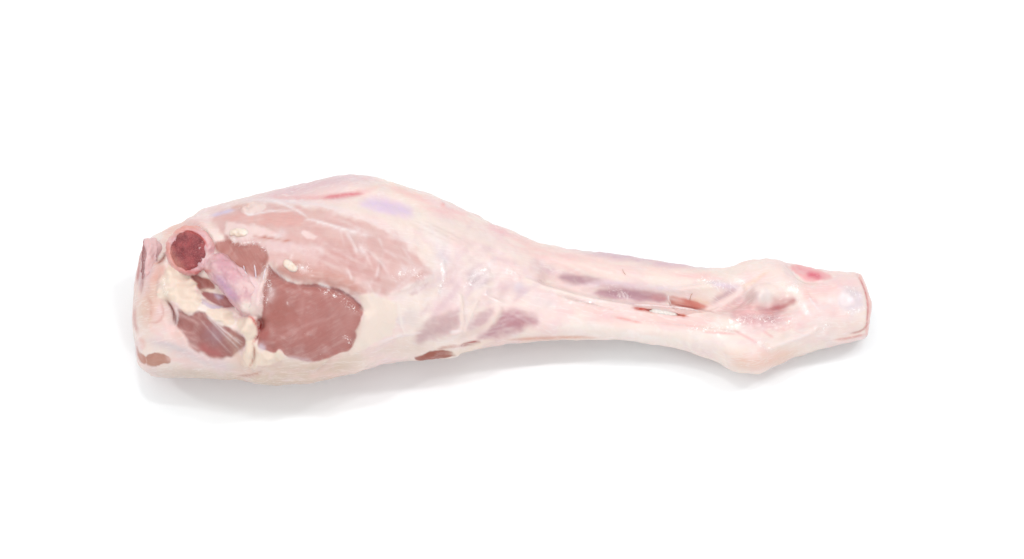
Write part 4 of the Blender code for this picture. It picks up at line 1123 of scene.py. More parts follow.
def grid_mesh(name, rings):
    """A closed mesh from equal rings of points, with a fan over each end."""
    rings = np.asarray(rings, float)
    count, sides = rings.shape[:2]
    ends = np.stack([rings[0].mean(axis=0), rings[-1].mean(axis=0)])
    points = np.concatenate([rings.reshape(-1, 3), ends])
    near = (np.arange(count - 1)[:, None] * sides + np.arange(sides)).ravel()
    near_next = (np.arange(count - 1)[:, None] * sides + (np.arange(sides) + 1) % sides).ravel()
    walls = np.stack([near, near_next, near_next + sides, near + sides], axis=1).tolist()
    first, last = count * sides, count * sides + 1
    this, other = np.arange(sides), (np.arange(sides) + 1) % sides
    start = np.stack([np.full(sides, first), other, this], axis=1).tolist()
    base = first - sides
    finish = np.stack([np.full(sides, last), base + this, base + other], axis=1).tolist()
    mesh = bpy.data.meshes.new(name)
    mesh.from_pydata(points.tolist(), [], walls + start + finish)
    mesh.update()
    return mesh


def mesh_points(mesh):
    """A mesh's points and normals."""
    points = np.zeros(len(mesh.vertices) * 3)
    normals = np.zeros(len(mesh.vertices) * 3)
    mesh.vertices.foreach_get("co", points)
    mesh.vertex_normals.foreach_get("vector", normals)
    return points.reshape(-1, 3), normals.reshape(-1, 3)


def set_points(mesh, points):
    """Moves a mesh's points."""
    mesh.vertices.foreach_set("co", points.ravel())
    mesh.update()


def raggedness(points):
    """How far the edges of the tissues wander, as a share of their raggedness."""
    return layered_noise(points, EDGE_NOISE)


def region_rise(points, pixels):
    """How much the tissues stand proud of each other at these places, in metres."""
    wander = raggedness(points)
    lumps = 1.0 + layered_noise(points, LUMP_NOISE)
    height = np.zeros(len(pixels))
    for region in REGIONS:
        if region.rise:
            depth = inside_outline(pixels, region.outline) + wander * region.ragged
            rise = region.rise * lumps if region.rise > LUMPY_FROM else region.rise
            height += rise * MM * smoothstep(*RISE_EDGE, depth)
    return height


def shape_flesh(mesh):
    """Gives the flesh its broad and fine relief, and rests it on the table."""
    points, normals = mesh_points(mesh)
    facing = normals @ TOWARD
    seen = smoothstep(0.0, 0.35, facing)
    hidden = smoothstep(0.1, 0.5, -facing)
    pixels = in_picture(points)
    places = picture_to_mm(pixels)
    height = relief_height(places, BROAD_RELIEF) * seen
    height += relief_height(pixels, FINE_RELIEF) * seen
    height += region_rise(points, pixels) * seen
    height += relief_height(places + BACK_OFFSET, BACK_RELIEF) * hidden
    for size, tall, seed in FLESH_NOISE:
        height += soft_noise(points, size, seed) * tall
    points = points + normals * height[:, None]
    points[:, 2] = np.maximum(points[:, 2], 0.0)
    set_points(mesh, points)


def sight_line(pixel):
    """Eye and direction of the line of sight through a pixel."""
    eye = SIGHT_TARGET + TOWARD * SIGHT_DISTANCE
    aim = SIGHT_TARGET + UPWARD * (MIDDLE_Y - pixel[1]) * PIXEL
    aim = aim + np.array([(pixel[0] - MIDDLE_X) * PIXEL, 0.0, 0.0])
    return Vector(eye), Vector(aim - eye).normalized()


def mm_to_picture(place):
    """The pixel of a place given as (along, up the sight) in mm."""
    return (START_X + place[0] * MM / PIXEL, MIDDLE_Y - place[1] * MM / PIXEL)


def surface_at(tree, pixel):
    """The point and normal of the flesh that show at a pixel."""
    eye, way = sight_line(pixel)
    point, normal, _, _ = tree.ray_cast(eye, way)
    return np.array(point), np.array(normal)


def tree_of(mesh):
    """A search tree of a mesh's faces."""
    return BVHTree.FromPolygons(
        [vertex.co for vertex in mesh.vertices], [tuple(face.vertices) for face in mesh.polygons]
    )


def link(name, mesh):
    """An object of this mesh in the scene, shaded smooth."""
    obj = bpy.data.objects.new(name, mesh)
    bpy.context.scene.collection.objects.link(obj)
    mesh.polygons.foreach_set("use_smooth", [True] * len(mesh.polygons))
    return obj


def evaluated(obj):
    """The object's mesh after its modifiers, which are then taken off."""
    bpy.context.view_layer.update()
    graph = bpy.context.evaluated_depsgraph_get()
    mesh = bpy.data.meshes.new_from_object(obj.evaluated_get(graph))
    obj.modifiers.clear()
    obj.data = mesh
    mesh.polygons.foreach_set("use_smooth", [True] * len(mesh.polygons))
    return mesh


def cut_slit(flesh, base):
    """Cuts the slit beside the heel cord along the line of sight, its ends sloping inward."""
    (start, start_up), (end, end_up) = SLIT_ENDS
    share = np.array([0.0, 0.12, 0.35, 0.65, 0.88, 1.0, 0.88, 0.65, 0.35, 0.12])
    bulge = np.array([0.0, 0.7, 1.0, 1.0, 0.7, 0.0, -0.7, -1.0, -1.0, -0.7])
    middle, _ = surface_at(base, mm_to_picture(((start + end) / 2, (start_up + end_up) / 2)))
    rings = []
    for reach, length, width in SLIT_LEVELS:
        ring = []
        for t, b in zip(share, bulge):
            t = SLIT_OPEN_AT + (t - SLIT_OPEN_AT) * length
            along = start + (end - start) * t
            up = start_up + (end_up - start_up) * t + b * SLIT_HALF_HEIGHT * width
            eye, way = sight_line(mm_to_picture((along, up)))
            depth = (Vector(middle) - eye).dot(way)
            ring.append(eye + way * (depth + reach))
        rings.append(ring)
    cutter = link("slit_cutter", grid_mesh("slit_cutter", rings))
    modifier = flesh.modifiers.new("slit", "BOOLEAN")
    modifier.operation = "DIFFERENCE"
    modifier.solver = "EXACT"
    modifier.object = cutter
    mesh = evaluated(flesh)
    bpy.data.objects.remove(cutter, do_unlink=True)
    return mesh


GUIDE_STARTS = np.array([point for line in GUIDES for point in line[:-1]], float)
GUIDE_RUNS = np.array([point for line in GUIDES for point in line[1:]], float) - GUIDE_STARTS
GUIDE_LENGTHS = np.linalg.norm(GUIDE_RUNS, axis=1)


def flow_at(place):
    """The way the tissues run at a place in the picture, from the guide lines near it."""
    t = np.clip(((place - GUIDE_STARTS) * GUIDE_RUNS).sum(axis=1) / GUIDE_LENGTHS**2, 0, 1)
    gap = np.linalg.norm(place - (GUIDE_STARTS + t[:, None] * GUIDE_RUNS), axis=1)
    weight = (np.exp(-((gap / GUIDE_REACH) ** 2)) + 1e-9) / GUIDE_LENGTHS
    total = (GUIDE_RUNS * weight[:, None]).sum(axis=0)
    return total / np.linalg.norm(total)


def wisp_strokes():
    """Fine seeded streaks that follow the flow of the tissues, patch by patch."""
    streaks = []
    for number, wisps in enumerate(WISPS):
        random = np.random.default_rng(100 + number)
        outline = rounded(wisps.outline, closed=True)
        low, high = outline.min(axis=0), outline.max(axis=0)
        made = 0
        while made < wisps.count:
            place = random.uniform(low, high)
            if inside_outline(place[None, :], wisps.outline)[0] < 1.0:
                continue
            turn = math.radians(random.normal(wisps.turn, wisps.spread))
            length = wisps.length * random.uniform(*WISP_LENGTHS)
            path = [tuple(place)]
            for _ in range(WISP_STEPS):
                flow = flow_at(np.array(path[-1]))
                way = np.array([
                    flow[0] * math.cos(turn) - flow[1] * math.sin(turn),
                    flow[0] * math.sin(turn) + flow[1] * math.cos(turn),
                ])
                turn += math.radians(random.normal(0.0, WISP_WOBBLE))
                path.append(tuple(np.array(path[-1]) + way * length / WISP_STEPS))
            strength = wisps.strength * random.uniform(*WISP_STRENGTHS)
            half_width = wisps.half_width * random.uniform(*WISP_WIDTHS)
            streaks.append(Stroke(wisps.colour, strength, half_width, path))
            made += 1
    return streaks


def paint(pixels, strokes, colour, cover):
    """Lays soft strokes over the colours and their cover at these places."""
    for stroke in strokes:
        path = rounded(stroke.path, rounds=1)
        reach = STROKE_REACH * stroke.half_width
        low, high = path.min(axis=0) - reach, path.max(axis=0) + reach
        near = np.all((pixels > low) & (pixels < high), axis=1)
        gap, share = nearest_on_path(pixels[near], path)
        ends = smoothstep(*STROKE_FADE, np.minimum(share, 1 - share))
        half_width = stroke.half_width * (0.5 + 0.5 * ends)
        amount = stroke.strength * ends * np.exp(-((gap / half_width) ** 2))
        before = cover[near] * (1 - amount)
        total = np.maximum(amount + before, 1e-6)
        mixed = np.outer(amount, stroke.colour) + colour[near] * before[:, None]
        colour[near] = mixed / total[:, None]
        cover[near] = amount + before


def store(mesh, name, values):
    """Stores one number, or a colour with its cover, for each point of a mesh."""
    kind = "FLOAT" if values.ndim == 1 else "FLOAT_COLOR"
    attribute = mesh.attributes.new(name, kind, "POINT")
    field = "value" if values.ndim == 1 else "color"
    attribute.data.foreach_set(field, values.astype(np.float32).ravel())


def section_middle(x):
    """The middle of the leg's section at each x."""
    along = np.linspace(1.0, LEG_MM - 1.0, MIDDLE_STATIONS)
    over = section_points(along, np.full(len(along), math.pi / 2))
    under = section_points(along, np.full(len(along), -math.pi / 2))
    middle = (over + under) / 2
    half = (over[:, 2] - under[:, 2]) / 2
    return [np.interp(x, middle[:, 0], column) for column in (middle[:, 1], middle[:, 2], half)]


def describe_flesh(mesh):
    """Stores what the flesh's material reads: tissues, colours, grain and wet places."""
    points, normals = mesh_points(mesh)
    pixels = in_picture(points)
    mid_y, mid_z, half = section_middle(points[:, 0])
    from_middle = np.stack([points[:, 1] - mid_y, points[:, 2] - mid_z], axis=1)
    toward = from_middle @ TOWARD[1:]
    upward = from_middle @ UPWARD[1:]
    seen = smoothstep(-0.12, 0.10, toward / np.maximum(half, 0.004))
    seen = np.maximum(seen, smoothstep(-0.30, -0.02, normals @ TOWARD))
    store(mesh, "seen", seen)

    lean = np.zeros(len(points))
    grain = np.zeros(len(points))
    wander = raggedness(points)
    for region in REGIONS:
        depth = inside_outline(pixels, region.outline) + wander * region.ragged
        store(mesh, "in_" + region.name, depth - (1 - seen) * HIDDEN_DEPTH)
        share = smoothstep(-region.soft, region.soft, depth)
        lean = lean * (1 - share) + region.lean * share
        grain = np.where(depth > 0, math.radians(region.grain), grain)
    store(mesh, "lean", lean * seen)

    # lengths along the grain and across it, round the leg
    round_leg = np.arctan2(upward, toward) * np.maximum(half, 0.008)
    along, across = points[:, 0], round_leg
    store(mesh, "grain_along", along * np.cos(grain) - across * np.sin(grain))
    store(mesh, "grain_across", along * np.sin(grain) + across * np.cos(grain))

    # the sawn and cut face of the rump, away from the camera
    turned = smoothstep(*RUMP_TURN, -normals[:, 0])
    store(mesh, "rump", turned * smoothstep(*RUMP_REACH, points[:, 0]))

    fine_strokes = wisp_strokes() + FINE_STROKES
    for name, strokes in (("broad", BROAD_STROKES), ("fine", fine_strokes)):
        colour = np.zeros((len(points), 3)) + SKIN_PINK
        cover = np.zeros(len(points))
        paint(pixels, strokes, colour, cover)
        store(mesh, name + "_tint", np.column_stack([colour, cover * seen]))

    # wet places for the gloss, and where white glint specks are painted as highlights
    for name, places in (("wet", GLINTS), ("frost", PAINTED_GLINT_SPECKS)):
        amount = np.zeros(len(points))
        for half_width, path in places:
            gap = distance_to_path(pixels, path)
            amount = np.maximum(amount, np.exp(-((gap / half_width) ** 2)))
        store(mesh, name, amount * seen)


class Shader:
    """A material's nodes, added one at a time and read as outputs."""

    def __init__(self, name):
        self.material = bpy.data.materials.new(name)
        self.material.use_nodes = True
        self.tree = self.material.node_tree
        self.surface = self.tree.nodes["Principled BSDF"]

    def add(self, kind, settings, inputs, output=0):
        """A node with settings and inputs, which are sockets or plain values."""
        node = self.tree.nodes.new(kind)
        for key, value in settings.items():
            setattr(node, key, value)
        for key, value in inputs.items():
            self.feed(node.inputs[key], value)
        return node.outputs[output]

    def feed(self, socket, value):
        """Links a socket to an output, or sets it."""
        if isinstance(value, bpy.types.NodeSocket):
            self.tree.links.new(value, socket)
        elif isinstance(value, tuple) and len(value) == 3 and socket.type == "RGBA":
            socket.default_value = (*value, 1.0)
        else:
            socket.default_value = value

    def math(self, operation, a, b=0.0, clamp=False):
        return self.add("ShaderNodeMath", {"operation": operation, "use_clamp": clamp}, {0: a, 1: b})

    def plus(self, a, b, clamp=False):
        return self.math("ADD", a, b, clamp)

    def minus(self, a, b):
        return self.math("SUBTRACT", a, b)

    def times(self, a, b, clamp=False):
        return self.math("MULTIPLY", a, b, clamp)

    def mix(self, factor, a, b):
        """A colour between two."""
        settings = {"data_type": "RGBA"}
        return self.add("ShaderNodeMix", settings, {0: factor, 6: a, 7: b}, 2)

    def step(self, value, low, high, start=0.0, end=1.0):
        """An easy slope from start to end as a value goes from low to high."""
        settings = {"interpolation_type": "SMOOTHSTEP"}
        inputs = {0: value, 1: low, 2: high, 3: start, 4: end}
        return self.add("ShaderNodeMapRange", settings, inputs)

    def noise(self, vector, per_metre, detail=2.0, rough=0.5, warp=0.0):
        inputs = {"Vector": vector, "Scale": per_metre, "Detail": detail,
                  "Roughness": rough, "Distortion": warp}
        return self.add("ShaderNodeTexNoise", {}, inputs)

    def noise_colour(self, vector, per_metre):
        return self.add("ShaderNodeTexNoise", {}, {"Vector": vector, "Scale": per_metre}, 1)

    def attribute(self, name, output=2):
        return self.add("ShaderNodeAttribute", {"attribute_name": name}, {}, output)

    def place(self):
        return self.add("ShaderNodeTexCoord", {}, {}, 3)

    def combine(self, x, y):
        return self.add("ShaderNodeCombineXYZ", {}, {0: x, 1: y, 2: 0.0})

    def bump(self, height, strength, distance):
        inputs = {"Height": height, "Strength": strength, "Distance": distance}
        return self.add("ShaderNodeBump", {}, inputs)

    def finish(self, colour, normal, **sockets):
        """Feeds the surface its colour and normal, and sets its other sockets."""
        self.feed(self.surface.inputs["Base Color"], colour)
        self.feed(self.surface.inputs["Normal"], normal)
        for key, value in sockets.items():
            self.feed(self.surface.inputs[key.replace("_", " ")], value)
        return self.material


def soft_inside(shader, weight, radius, scale):
    """Light that goes a little way into the tissue."""
    shader.surface.inputs["Subsurface Weight"].default_value = weight
    shader.surface.inputs["Subsurface Radius"].default_value = radius
    shader.surface.inputs["Subsurface Scale"].default_value = scale


def flesh_material():
    """Fat, lean, membrane and cords of the leg."""
    s = Shader("flesh")
    place = s.place()
    seen = s.attribute("seen")
    lean = s.attribute("lean")
    wet = s.attribute("wet")
    large = s.noise(place, 45, 3, 0.55)
    middle = s.noise(place, 170, 4, 0.6, 0.6)
    fine = s.noise(place, 620, 4, 0.65)
    ragged = s.minus(s.plus(s.times(middle, 1.3), s.times(fine, 0.7)), 1.0)

    grain = s.combine(s.times(s.attribute("grain_along"), 0.10), s.attribute("grain_across"))
    fibres = s.noise(grain, 1500, 3, 0.55, 0.15)
    strands = s.noise(grain, 420, 3, 0.6, 0.3)

    # hidden side: fell over fat and lean, drawn out along the leg
    cover = s.step(s.plus(s.times(large, 0.7), s.times(strands, 0.3)), 0.42, 0.60)
    hidden = s.mix(cover, FELL, FELL_PALE)
    hidden = s.mix(s.step(s.noise(place, 28, 2, 0.5), 0.52, 0.66, 0.0, 0.55), hidden, LEAN_PALE)
    hidden = s.mix(s.step(strands, 0.56, 0.74, 0.0, 0.5), hidden, SKIN_WHITE)

    # rump: lean in seams of fat
    bent = s.add("ShaderNodeVectorMath", {"operation": "MULTIPLY_ADD"},
                 {0: s.noise_colour(place, 60), 1: (0.012, 0.012, 0.012), 2: place})
    cells = s.add("ShaderNodeTexVoronoi", {"feature": "DISTANCE_TO_EDGE"},
                  {"Vector": bent, "Scale": 42.0})
    meat = s.mix(fibres, LEAN_DEEP, LEAN)
    cut_face = s.mix(s.step(s.plus(cells, s.times(ragged, 0.03)), 0.03, 0.075), FAT, meat)
    hidden = s.mix(s.attribute("rump"), hidden, cut_face)

    # inner side: membrane, then the soft tints, the tissues and the fine strokes
    skin = s.mix(s.step(large, 0.40, 0.62), SKIN_PINK, CREAM)
    skin = s.mix(s.step(strands, 0.55, 0.75, 0.0, 0.35), skin, SKIN_WHITE)
    broad = s.attribute("broad_tint", 0)
    amount = s.attribute("broad_tint", 3)
    amount = s.times(amount, s.step(middle, 0.25, 0.65, 0.82, 1.12), True)
    colour = s.mix(amount, skin, broad)
    cool = s.step(s.noise(place, 75, 4, 0.6, 0.8), 0.48, 0.68, 0.0, 0.4)
    colour = s.mix(cool, colour, COOL_PINK)
    ridge = s.math("ABSOLUTE", s.minus(strands, 0.52))
    colour = s.mix(s.step(ridge, 0.03, 0.0, 0.0, 0.45), colour, MEMBRANE_EDGE)
    for region in REGIONS:
        inside = s.attribute("in_" + region.name)
        edge = s.plus(inside, s.times(ragged, 0.6 * region.ragged + 0.5))
        colour = s.mix(s.step(edge, -region.soft, region.soft), colour, region.colour)

    # mottling of lean: darker and paler fibres, and a thin pale membrane over parts of it
    mottle = s.step(middle, 0.32, 0.70)
    deeper = s.add("ShaderNodeMix", {"data_type": "RGBA", "blend_type": "MULTIPLY"},
                   {0: s.times(lean, s.step(fibres, 0.62, 0.38, 0.0, 0.12)), 6: colour,
                    7: FIBRE_SHADE}, 2)
    pale = s.plus(s.times(middle, 0.6), s.times(strands, 0.4))
    veil = s.times(lean, s.step(pale, 0.46, 0.70, 0.0, 0.24))
    colour = s.mix(veil, deeper, VEIL)
    flecks = s.times(lean, s.step(fine, 0.68, 0.76, 0.0, 0.4))
    colour = s.mix(flecks, colour, SKIN_WHITE)
    warm = s.times(s.minus(1.0, lean), s.step(mottle, 0.2, 0.9, 0.0, 0.22))
    colour = s.mix(warm, colour, WARM_CREAM)

    thin = s.attribute("fine_tint", 3)
    thin = s.times(thin, s.step(s.plus(fine, middle), 0.72, 1.08, 0.72, 1.1), True)
    colour = s.mix(thin, colour, s.attribute("fine_tint", 0))
    # painted highlights: white glint specks laid over the colour where glints are mapped
    glint_specks = s.step(s.noise(place, 720, 4, 0.75, 0.9), 0.54, 0.62, 0.0, 0.78)
    colour = s.mix(s.times(glint_specks, s.attribute("frost")), colour, PAINTED_GLINT_WHITE)
    colour = s.mix(seen, hidden, colour)

    bumps = s.plus(s.times(middle, 0.6), s.times(fine, 0.35))
    bumps = s.plus(bumps, s.times(s.times(fibres, lean), 0.35))
    bumps = s.plus(bumps, s.times(strands, 0.25))
    normal = s.bump(bumps, 0.45, 0.0006)
    glaze = s.bump(s.noise(place, 820, 2, 0.5, 0.6), 1.0, 0.00042)
    soft_inside(s, 0.18, (1.0, 0.42, 0.28), 0.003)
    rough = s.minus(s.step(middle, 0.3, 0.7, 0.40, 0.54), s.times(wet, 0.2))
    coat = s.plus(s.step(middle, 0.4, 0.65, 0.04, 0.3), s.times(wet, 0.9), True)
    return s.finish(colour, normal, Roughness=rough, Specular_IOR_Level=0.42, Coat_Weight=coat,
                    Coat_Roughness=0.06, Coat_IOR=1.8, Coat_Normal=glaze)


def bone_material(name, strokes_name, speckle):
    """Bone under its skin: pale pink with soft tints, and a wet skin over it."""
    s = Shader(name)
    place = s.place()
    large = s.noise(place, 160, 3, 0.55)
    fine = s.noise(place, 900, 4, 0.6)
    colour = s.mix(s.step(large, 0.35, 0.65), BONE, BONE_PALE)
    amount = s.times(s.attribute(strokes_name, 3), s.step(fine, 0.2, 0.62, 0.75, 1.1), True)
    colour = s.mix(amount, colour, s.attribute(strokes_name, 0))
    colour = s.mix(s.step(fine, 0.60, 0.72, 0.0, speckle), colour, BONE_RED)
    normal = s.bump(s.plus(large, s.times(fine, 0.4)), 0.4, 0.0005)
    soft_inside(s, 0.2, (1.0, 0.4, 0.3), 0.003)
    return s.finish(colour, normal, Roughness=s.step(large, 0.3, 0.7, 0.36, 0.5),
                    Coat_Weight=0.35, Coat_Roughness=0.16)


def marrow_material():
    """Spongy red marrow: dark pores between paler threads of bone."""
    s = Shader("marrow")
    place = s.place()
    large = s.noise(place, 210, 3, 0.55)
    fine = s.noise(place, 1400, 4, 0.62)
    pores = s.add("ShaderNodeTexVoronoi", {"feature": "DISTANCE_TO_EDGE"},
                  {"Vector": place, "Scale": 1500.0, "Randomness": 1.0})
    threads = s.step(pores, 0.02, 0.16, 1.0, 0.0)
    colour = s.mix(s.step(large, 0.36, 0.64), MARROW_DARK, MARROW)
    colour = s.mix(s.times(threads, 0.5), colour, MARROW_PALE)
    colour = s.mix(s.step(fine, 0.56, 0.70, 0.0, 0.55), colour, MARROW_PALE)
    colour = s.mix(s.step(fine, 0.44, 0.32, 0.0, 0.6), colour, MARROW_DARK)
    amount = s.times(s.attribute("bone_tint", 3), s.step(fine, 0.3, 0.6, 0.6, 1.1), True)
    colour = s.mix(amount, colour, s.attribute("bone_tint", 0))
    rough = s.plus(s.times(threads, 0.5), fine)
    normal = s.bump(rough, 0.8, 0.0006)
    soft_inside(s, 0.15, (1.0, 0.3, 0.25), 0.0015)
    return s.finish(colour, normal, Roughness=0.5, Coat_Weight=0.12, Coat_Roughness=0.25)


def fat_material():
    """Firm pale fat with a little pink in it."""
    s = Shader("fat")
    place = s.place()
    large = s.noise(place, 190, 3, 0.55)
    fine = s.noise(place, 900, 4, 0.6)
    colour = s.mix(s.step(large, 0.35, 0.65), FAT, FAT_PALE)
    colour = s.mix(s.step(fine, 0.55, 0.72, 0.0, 0.35), colour, BLUSH)
    normal = s.bump(s.plus(large, s.times(fine, 0.4)), 0.5, 0.0005)
    soft_inside(s, 0.25, (1.0, 0.6, 0.4), 0.003)
    return s.finish(colour, normal, Roughness=0.45, Coat_Weight=0.25, Coat_Roughness=0.18)


def thread_material(name, colour, other):
    """Strands of membrane or hair, one colour running into another."""
    s = Shader(name)
    place = s.place()
    fine = s.noise(place, 700, 3, 0.6)
    mixed = s.mix(s.step(fine, 0.4, 0.6), colour, other)
    normal = s.bump(fine, 0.4, 0.0003)
    soft_inside(s, 0.2, (1.0, 0.5, 0.4), 0.002)
    return s.finish(mixed, normal, Roughness=0.4, Coat_Weight=0.3, Coat_Roughness=0.15)


def piece(name, mesh, material, replaces=()):
    """A piece of the leg that rides on its one body."""
    obj = link(name, mesh)
    obj.data.materials.clear()
    obj.data.materials.append(material)
    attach(obj, "root")
    for node in replaces:
        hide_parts(node)


def oval_rings(place, looks, half, depths, sides):
    """Rings of an oval bar whose sawn face looks one way, by depth and growth."""
    forward = Vector(looks).normalized()
    tall = Vector(UPWARD)
    tall = (tall - forward * tall.dot(forward)).normalized()
    wide = tall.cross(forward)
    turn = np.arange(sides) * 2 * math.pi / sides
    rings = []
    for depth, grow in depths:
        ring = np.outer(np.cos(turn) * (half[0] + grow), wide)
        ring += np.outer(np.sin(turn) * (half[1] + grow), tall)
        rings.append(place - np.array(forward) * depth + ring)
    return np.array(rings)


def path_through(points, steps):
    """Points on a smooth curve through the given rows, evenly spread between them."""
    rows = np.asarray(points, float)
    knots = np.arange(len(rows))
    places = np.linspace(0, len(rows) - 1, steps)
    columns = [smooth_through(knots, rows[:, k], places) for k in range(rows.shape[1])]
    return np.stack(columns, axis=1)


def rings_round(centres, radii, sides):
    """Rings of points square to a path, turned as little as possible along it."""
    ways = np.gradient(centres, axis=0)
    side = Vector((1.0, 0.0, 0.0))
    rings = []
    for centre, way, radius in zip(centres, ways, radii):
        forward = Vector(way).normalized()
        side = (side - forward * side.dot(forward)).normalized()
        other = forward.cross(side)
        turn = np.arange(sides) * 2 * math.pi / sides
        ring = np.outer(np.cos(turn), side) + np.outer(np.sin(turn), other)
        rings.append(centre + ring * radius)
    return np.array(rings)


def fused(name, meshes, voxel):
    """One closed mesh round several that overlap, with its joins smoothed."""
    parts = [link(f"{name}_{number}", mesh) for number, mesh in enumerate(meshes)]
    points, faces = [], []
    for part in parts:
        start = len(points)
        points += [vertex.co[:] for vertex in part.data.vertices]
        faces += [[start + corner for corner in face.vertices] for face in part.data.polygons]
        bpy.data.objects.remove(part, do_unlink=True)
    mesh = bpy.data.meshes.new(name)
    mesh.from_pydata(points, [], faces)
    whole = link(name, mesh)
    remesh = whole.modifiers.new("remesh", "REMESH")
    remesh.mode = "VOXEL"
    remesh.voxel_size = voxel
    smooth = whole.modifiers.new("smooth", "SMOOTH")
    smooth.factor = 0.5
    smooth.iterations = JOIN_SMOOTHING
    mesh = evaluated(whole)
    bpy.data.objects.remove(whole, do_unlink=True)
    return mesh


def roughen(mesh, layers):
    """Moves a mesh's points along its normals by layers of noise."""
    points, normals = mesh_points(mesh)
    set_points(mesh, points + normals * layered_noise(points, layers)[:, None])


def tint(mesh, name, strokes):
    """Stores soft strokes of colour on a mesh, by where its points show in the picture."""
    points, normals = mesh_points(mesh)
    colour = np.zeros((len(points), 3)) + BONE
    cover = np.zeros(len(points))
    paint(in_picture(points), strokes, colour, cover)
    seen = smoothstep(-0.25, 0.15, normals @ TOWARD)
    store(mesh, name, np.column_stack([colour, cover * seen]))


def sawn_bone(tree, name, facts):
    """Meshes of a sawn bone and of the marrow that fills its face."""
    place, _ = surface_at(tree, mm_to_picture(facts["sight"]))
    place = place - TOWARD * facts["under"] + np.array(facts["looks"]) * facts["proud"]
    looks, half, rim = facts["looks"], facts["half"], facts["rim"]
    buried, narrows = facts["buried"], facts["narrows"]
    outside = (
        (buried, -narrows - rim),
        (buried * 0.92, -narrows),
        (buried * 0.5, -narrows * 0.4),
        (rim * 5.0, facts["collar"] * 0.7),
        (rim * 3.0, facts["collar"]),
        (rim * 1.6, facts["collar"] * 0.8),
        (rim * 0.6, facts["collar"] * 0.3),
        (0.0, -rim * 0.4),
        (rim * 0.1, -rim * 0.9),
        (rim * 0.5, -rim * 1.1),
    )
    bone = grid_mesh(f"{name}_bone", oval_rings(place, looks, half, outside, BONE_SIDES))
    reach = min(half) - rim
    shares = np.linspace(0.0, CROWN_REACH, CROWN_RINGS)
    crown = [(-facts["swell"] * (1 - (1 - share) ** 2) + rim * 0.15, -rim * 0.92 - reach * share)
             for share in shares]
    foot = [(facts["marrow"] * 0.5, -rim * 1.4), (rim, -rim)]
    inside = oval_rings(place, looks, half, foot + crown, MARROW_SIDES)
    marrow = grid_mesh(f"{name}_marrow", inside)
    return bone, marrow


def shaft_mesh(tree):
    """Mesh of the hip bone's shaft, from its buried foot to under its head."""
    rows = []
    for along, up, over, radius in HIP_SHAFT:
        centre, _ = surface_at(tree, mm_to_picture((along, up)))
        rows.append((*(centre + TOWARD * over * MM), radius * MM))
    path = path_through(rows, SHAFT_STEPS)
    return grid_mesh("shaft", rings_round(path[:, :3], path[:, 3], SHAFT_SIDES))


def laid(tree, pixels, over):
    """Points over the flesh that shows at these pixels, by a height in mm for each."""
    over = np.broadcast_to(over, len(pixels))
    points = []
    for pixel, height in zip(pixels, over):
        point, normal = surface_at(tree, pixel)
        points.append(point + normal * height * MM)
    return np.array(points)


def pad_mesh(tree, name, outline, height, sink):
    """A pad of fat on the flesh: its underside, its edge and its crown."""
    edge = rounded(outline, closed=True)
    middle = edge.mean(axis=0)
    shares = np.linspace(0.1, 1.0, PAD_RINGS)
    rings = [laid(tree, middle + (edge - middle) * share, -sink) for share in shares]
    for share in shares[::-1]:
        crown = height * math.sqrt(1.0 - 0.94 * share**3)
        rings.append(laid(tree, middle + (edge - middle) * share, crown))
    mesh = grid_mesh(name, rings)
    roughen(mesh, [(size, height * MM * share, seed) for size, share, seed in PAD_NOISE])
    return mesh


def strand_mesh(tree, name, path, half_width, over):
    """A thread that lies on the flesh and runs out thin at both ends."""
    line = rounded(path)
    steps = np.linalg.norm(np.diff(line, axis=0), axis=1)
    reached = np.concatenate([[0.0], np.cumsum(steps)])
    places = np.linspace(0, reached[-1], STRAND_STEPS)
    line = np.column_stack([np.interp(places, reached, line[:, k]) for k in range(2)])
    share = places / reached[-1]
    thick = np.minimum(1.0, np.minimum(share, 1 - share) * 6 + 0.12)
    centres = laid(tree, line, over)
    return grid_mesh(name, rings_round(centres, half_width * MM * thick, STRAND_SIDES))


def add_flesh():
    """The flesh in full detail; gives the search trees of its base and of its final shape."""
    rings = ring_stations()
    angles = ring_angles()
    base = section_points(np.repeat(rings, SIDES), np.tile(angles, len(rings)))
    mesh = grid_mesh("leg_flesh_fine", base.reshape(len(rings), SIDES, 3))
    smooth_tree = tree_of(mesh)
    shape_flesh(mesh)
    flesh = link("flesh_work", mesh)
    mesh = cut_slit(flesh, smooth_tree)
    bpy.data.objects.remove(flesh, do_unlink=True)
    describe_flesh(mesh)
    piece("leg_flesh_fine", mesh, flesh_material(), ("leg_flesh",))
    return smooth_tree, tree_of(mesh)


def add_bones(tree):
    """The three sawn bones and their marrow."""
    bone_look = bone_material("bone", "bone_tint", 0.25)
    marrow_look = marrow_material()
    for name, facts in SAWN_BONES.items():
        bone, marrow = sawn_bone(tree, name, facts)
        parts = [bone]
        if name == "hip":
            parts.append(shaft_mesh(tree))
        bone = fused(f"{name}_bone_fine", parts, facts["voxel"])
        roughen(bone, BONE_NOISE)
        roughen(marrow, MARROW_NOISE)
        for mesh in (bone, marrow):
            tint(mesh, "bone_tint", BONE_STROKES)
        piece(f"{name}_bone_fine", bone, bone_look, (f"{name}_bone",))
        piece(f"{name}_marrow_fine", marrow, marrow_look, (f"{name}_marrow",))


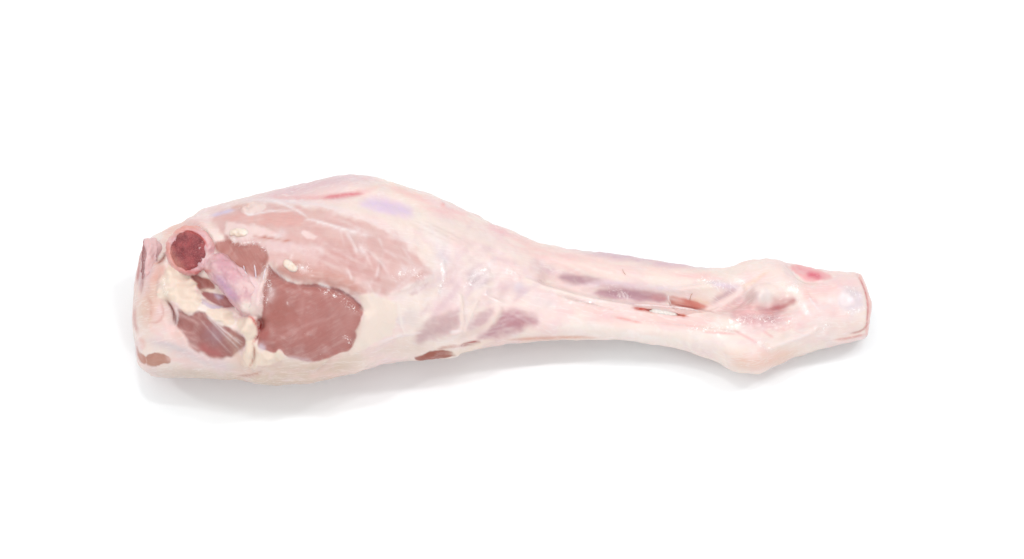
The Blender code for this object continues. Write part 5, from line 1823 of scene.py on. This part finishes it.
def add_small_pieces(base_tree, tree):
    """Pads of fat, strands of membrane, the pale fill deep in the slit that stands in as painted
    light for the lit floor seen through it, and stray hairs.
    """
    fat = fat_material()
    for name, height, sink, outline in FAT_PADS:
        piece(name, pad_mesh(tree, name, outline, height, sink), fat)
    looks = {
        "membrane": thread_material("membrane", SKIN_WHITE, SKIN_PINK),
        # the cord look is the pale fill in the slit: painted light standing in for the lit floor
        "cord": thread_material("cord", SLIT_FILL_WHITE, SLIT_FILL_GREY),
        "fibre": thread_material("fibre", FIBRE_MAUVE, SKIN_WHITE),
        "hair": thread_material("hair", HAIR_BROWN, HAIR_PALE),
    }
    for name, look, half_width, over, path in STRANDS:
        under = base_tree if look == "cord" else tree
        piece(name, strand_mesh(under, name, path, half_width, over), looks[look])


def add_stage():
    """Pale floor, soft studio light and the camera at the picture's angle."""
    mesh = bpy.data.meshes.new("floor")
    corners = ((-1, -1), (1, -1), (1, 1), (-1, 1))
    mesh.from_pydata([(x * FLOOR_HALF, y * FLOOR_HALF, 0) for x, y in corners], [], [(0, 1, 2, 3)])
    floor = bpy.data.objects.new("floor", mesh)
    floor.location.z = -FLOOR_DROP
    bpy.context.scene.collection.objects.link(floor)
    look = Shader("floor")
    grain = look.noise(look.place(), 3, 2)
    shade = look.mix(look.step(grain, 0.3, 0.7), FLOOR, FLOOR_GREY)
    look.finish(shade, look.bump(grain, 0.05, 0.001), Roughness=0.9)
    mesh.materials.append(look.material)

    world = bpy.data.worlds.new("studio")
    world.use_nodes = True
    background = world.node_tree.nodes["Background"]
    background.inputs["Color"].default_value = (1.0, 1.0, 1.0, 1.0)
    background.inputs["Strength"].default_value = SKY_STRENGTH
    bpy.context.scene.world = world
    for name, place, size, watts in LIGHTS:
        light = bpy.data.lights.new(name, "AREA")
        light.shape = "SQUARE"
        light.size = size
        light.energy = watts
        obj = bpy.data.objects.new(name, light)
        obj.location = place
        aim = Vector(SIGHT_TARGET) - Vector(place)
        obj.rotation_euler = aim.to_track_quat("-Z", "Y").to_euler()
        bpy.context.scene.collection.objects.link(obj)

    camera = bpy.data.cameras.new("camera")
    camera.lens = LENS_MM
    camera.sensor_width = SENSOR_MM
    camera.clip_end = 20.0
    obj = bpy.data.objects.new("camera", camera)
    obj.location = SIGHT_TARGET + TOWARD * SIGHT_DISTANCE
    obj.rotation_euler = (math.pi / 2 - SIGHT_ELEVATION, 0.0, 0.0)
    bpy.context.scene.collection.objects.link(obj)
    bpy.context.scene.camera = obj
    bpy.context.scene.view_settings.view_transform = "Standard"


base_tree, flesh_tree = add_flesh()
add_bones(base_tree)
add_small_pieces(base_tree, flesh_tree)
add_stage()
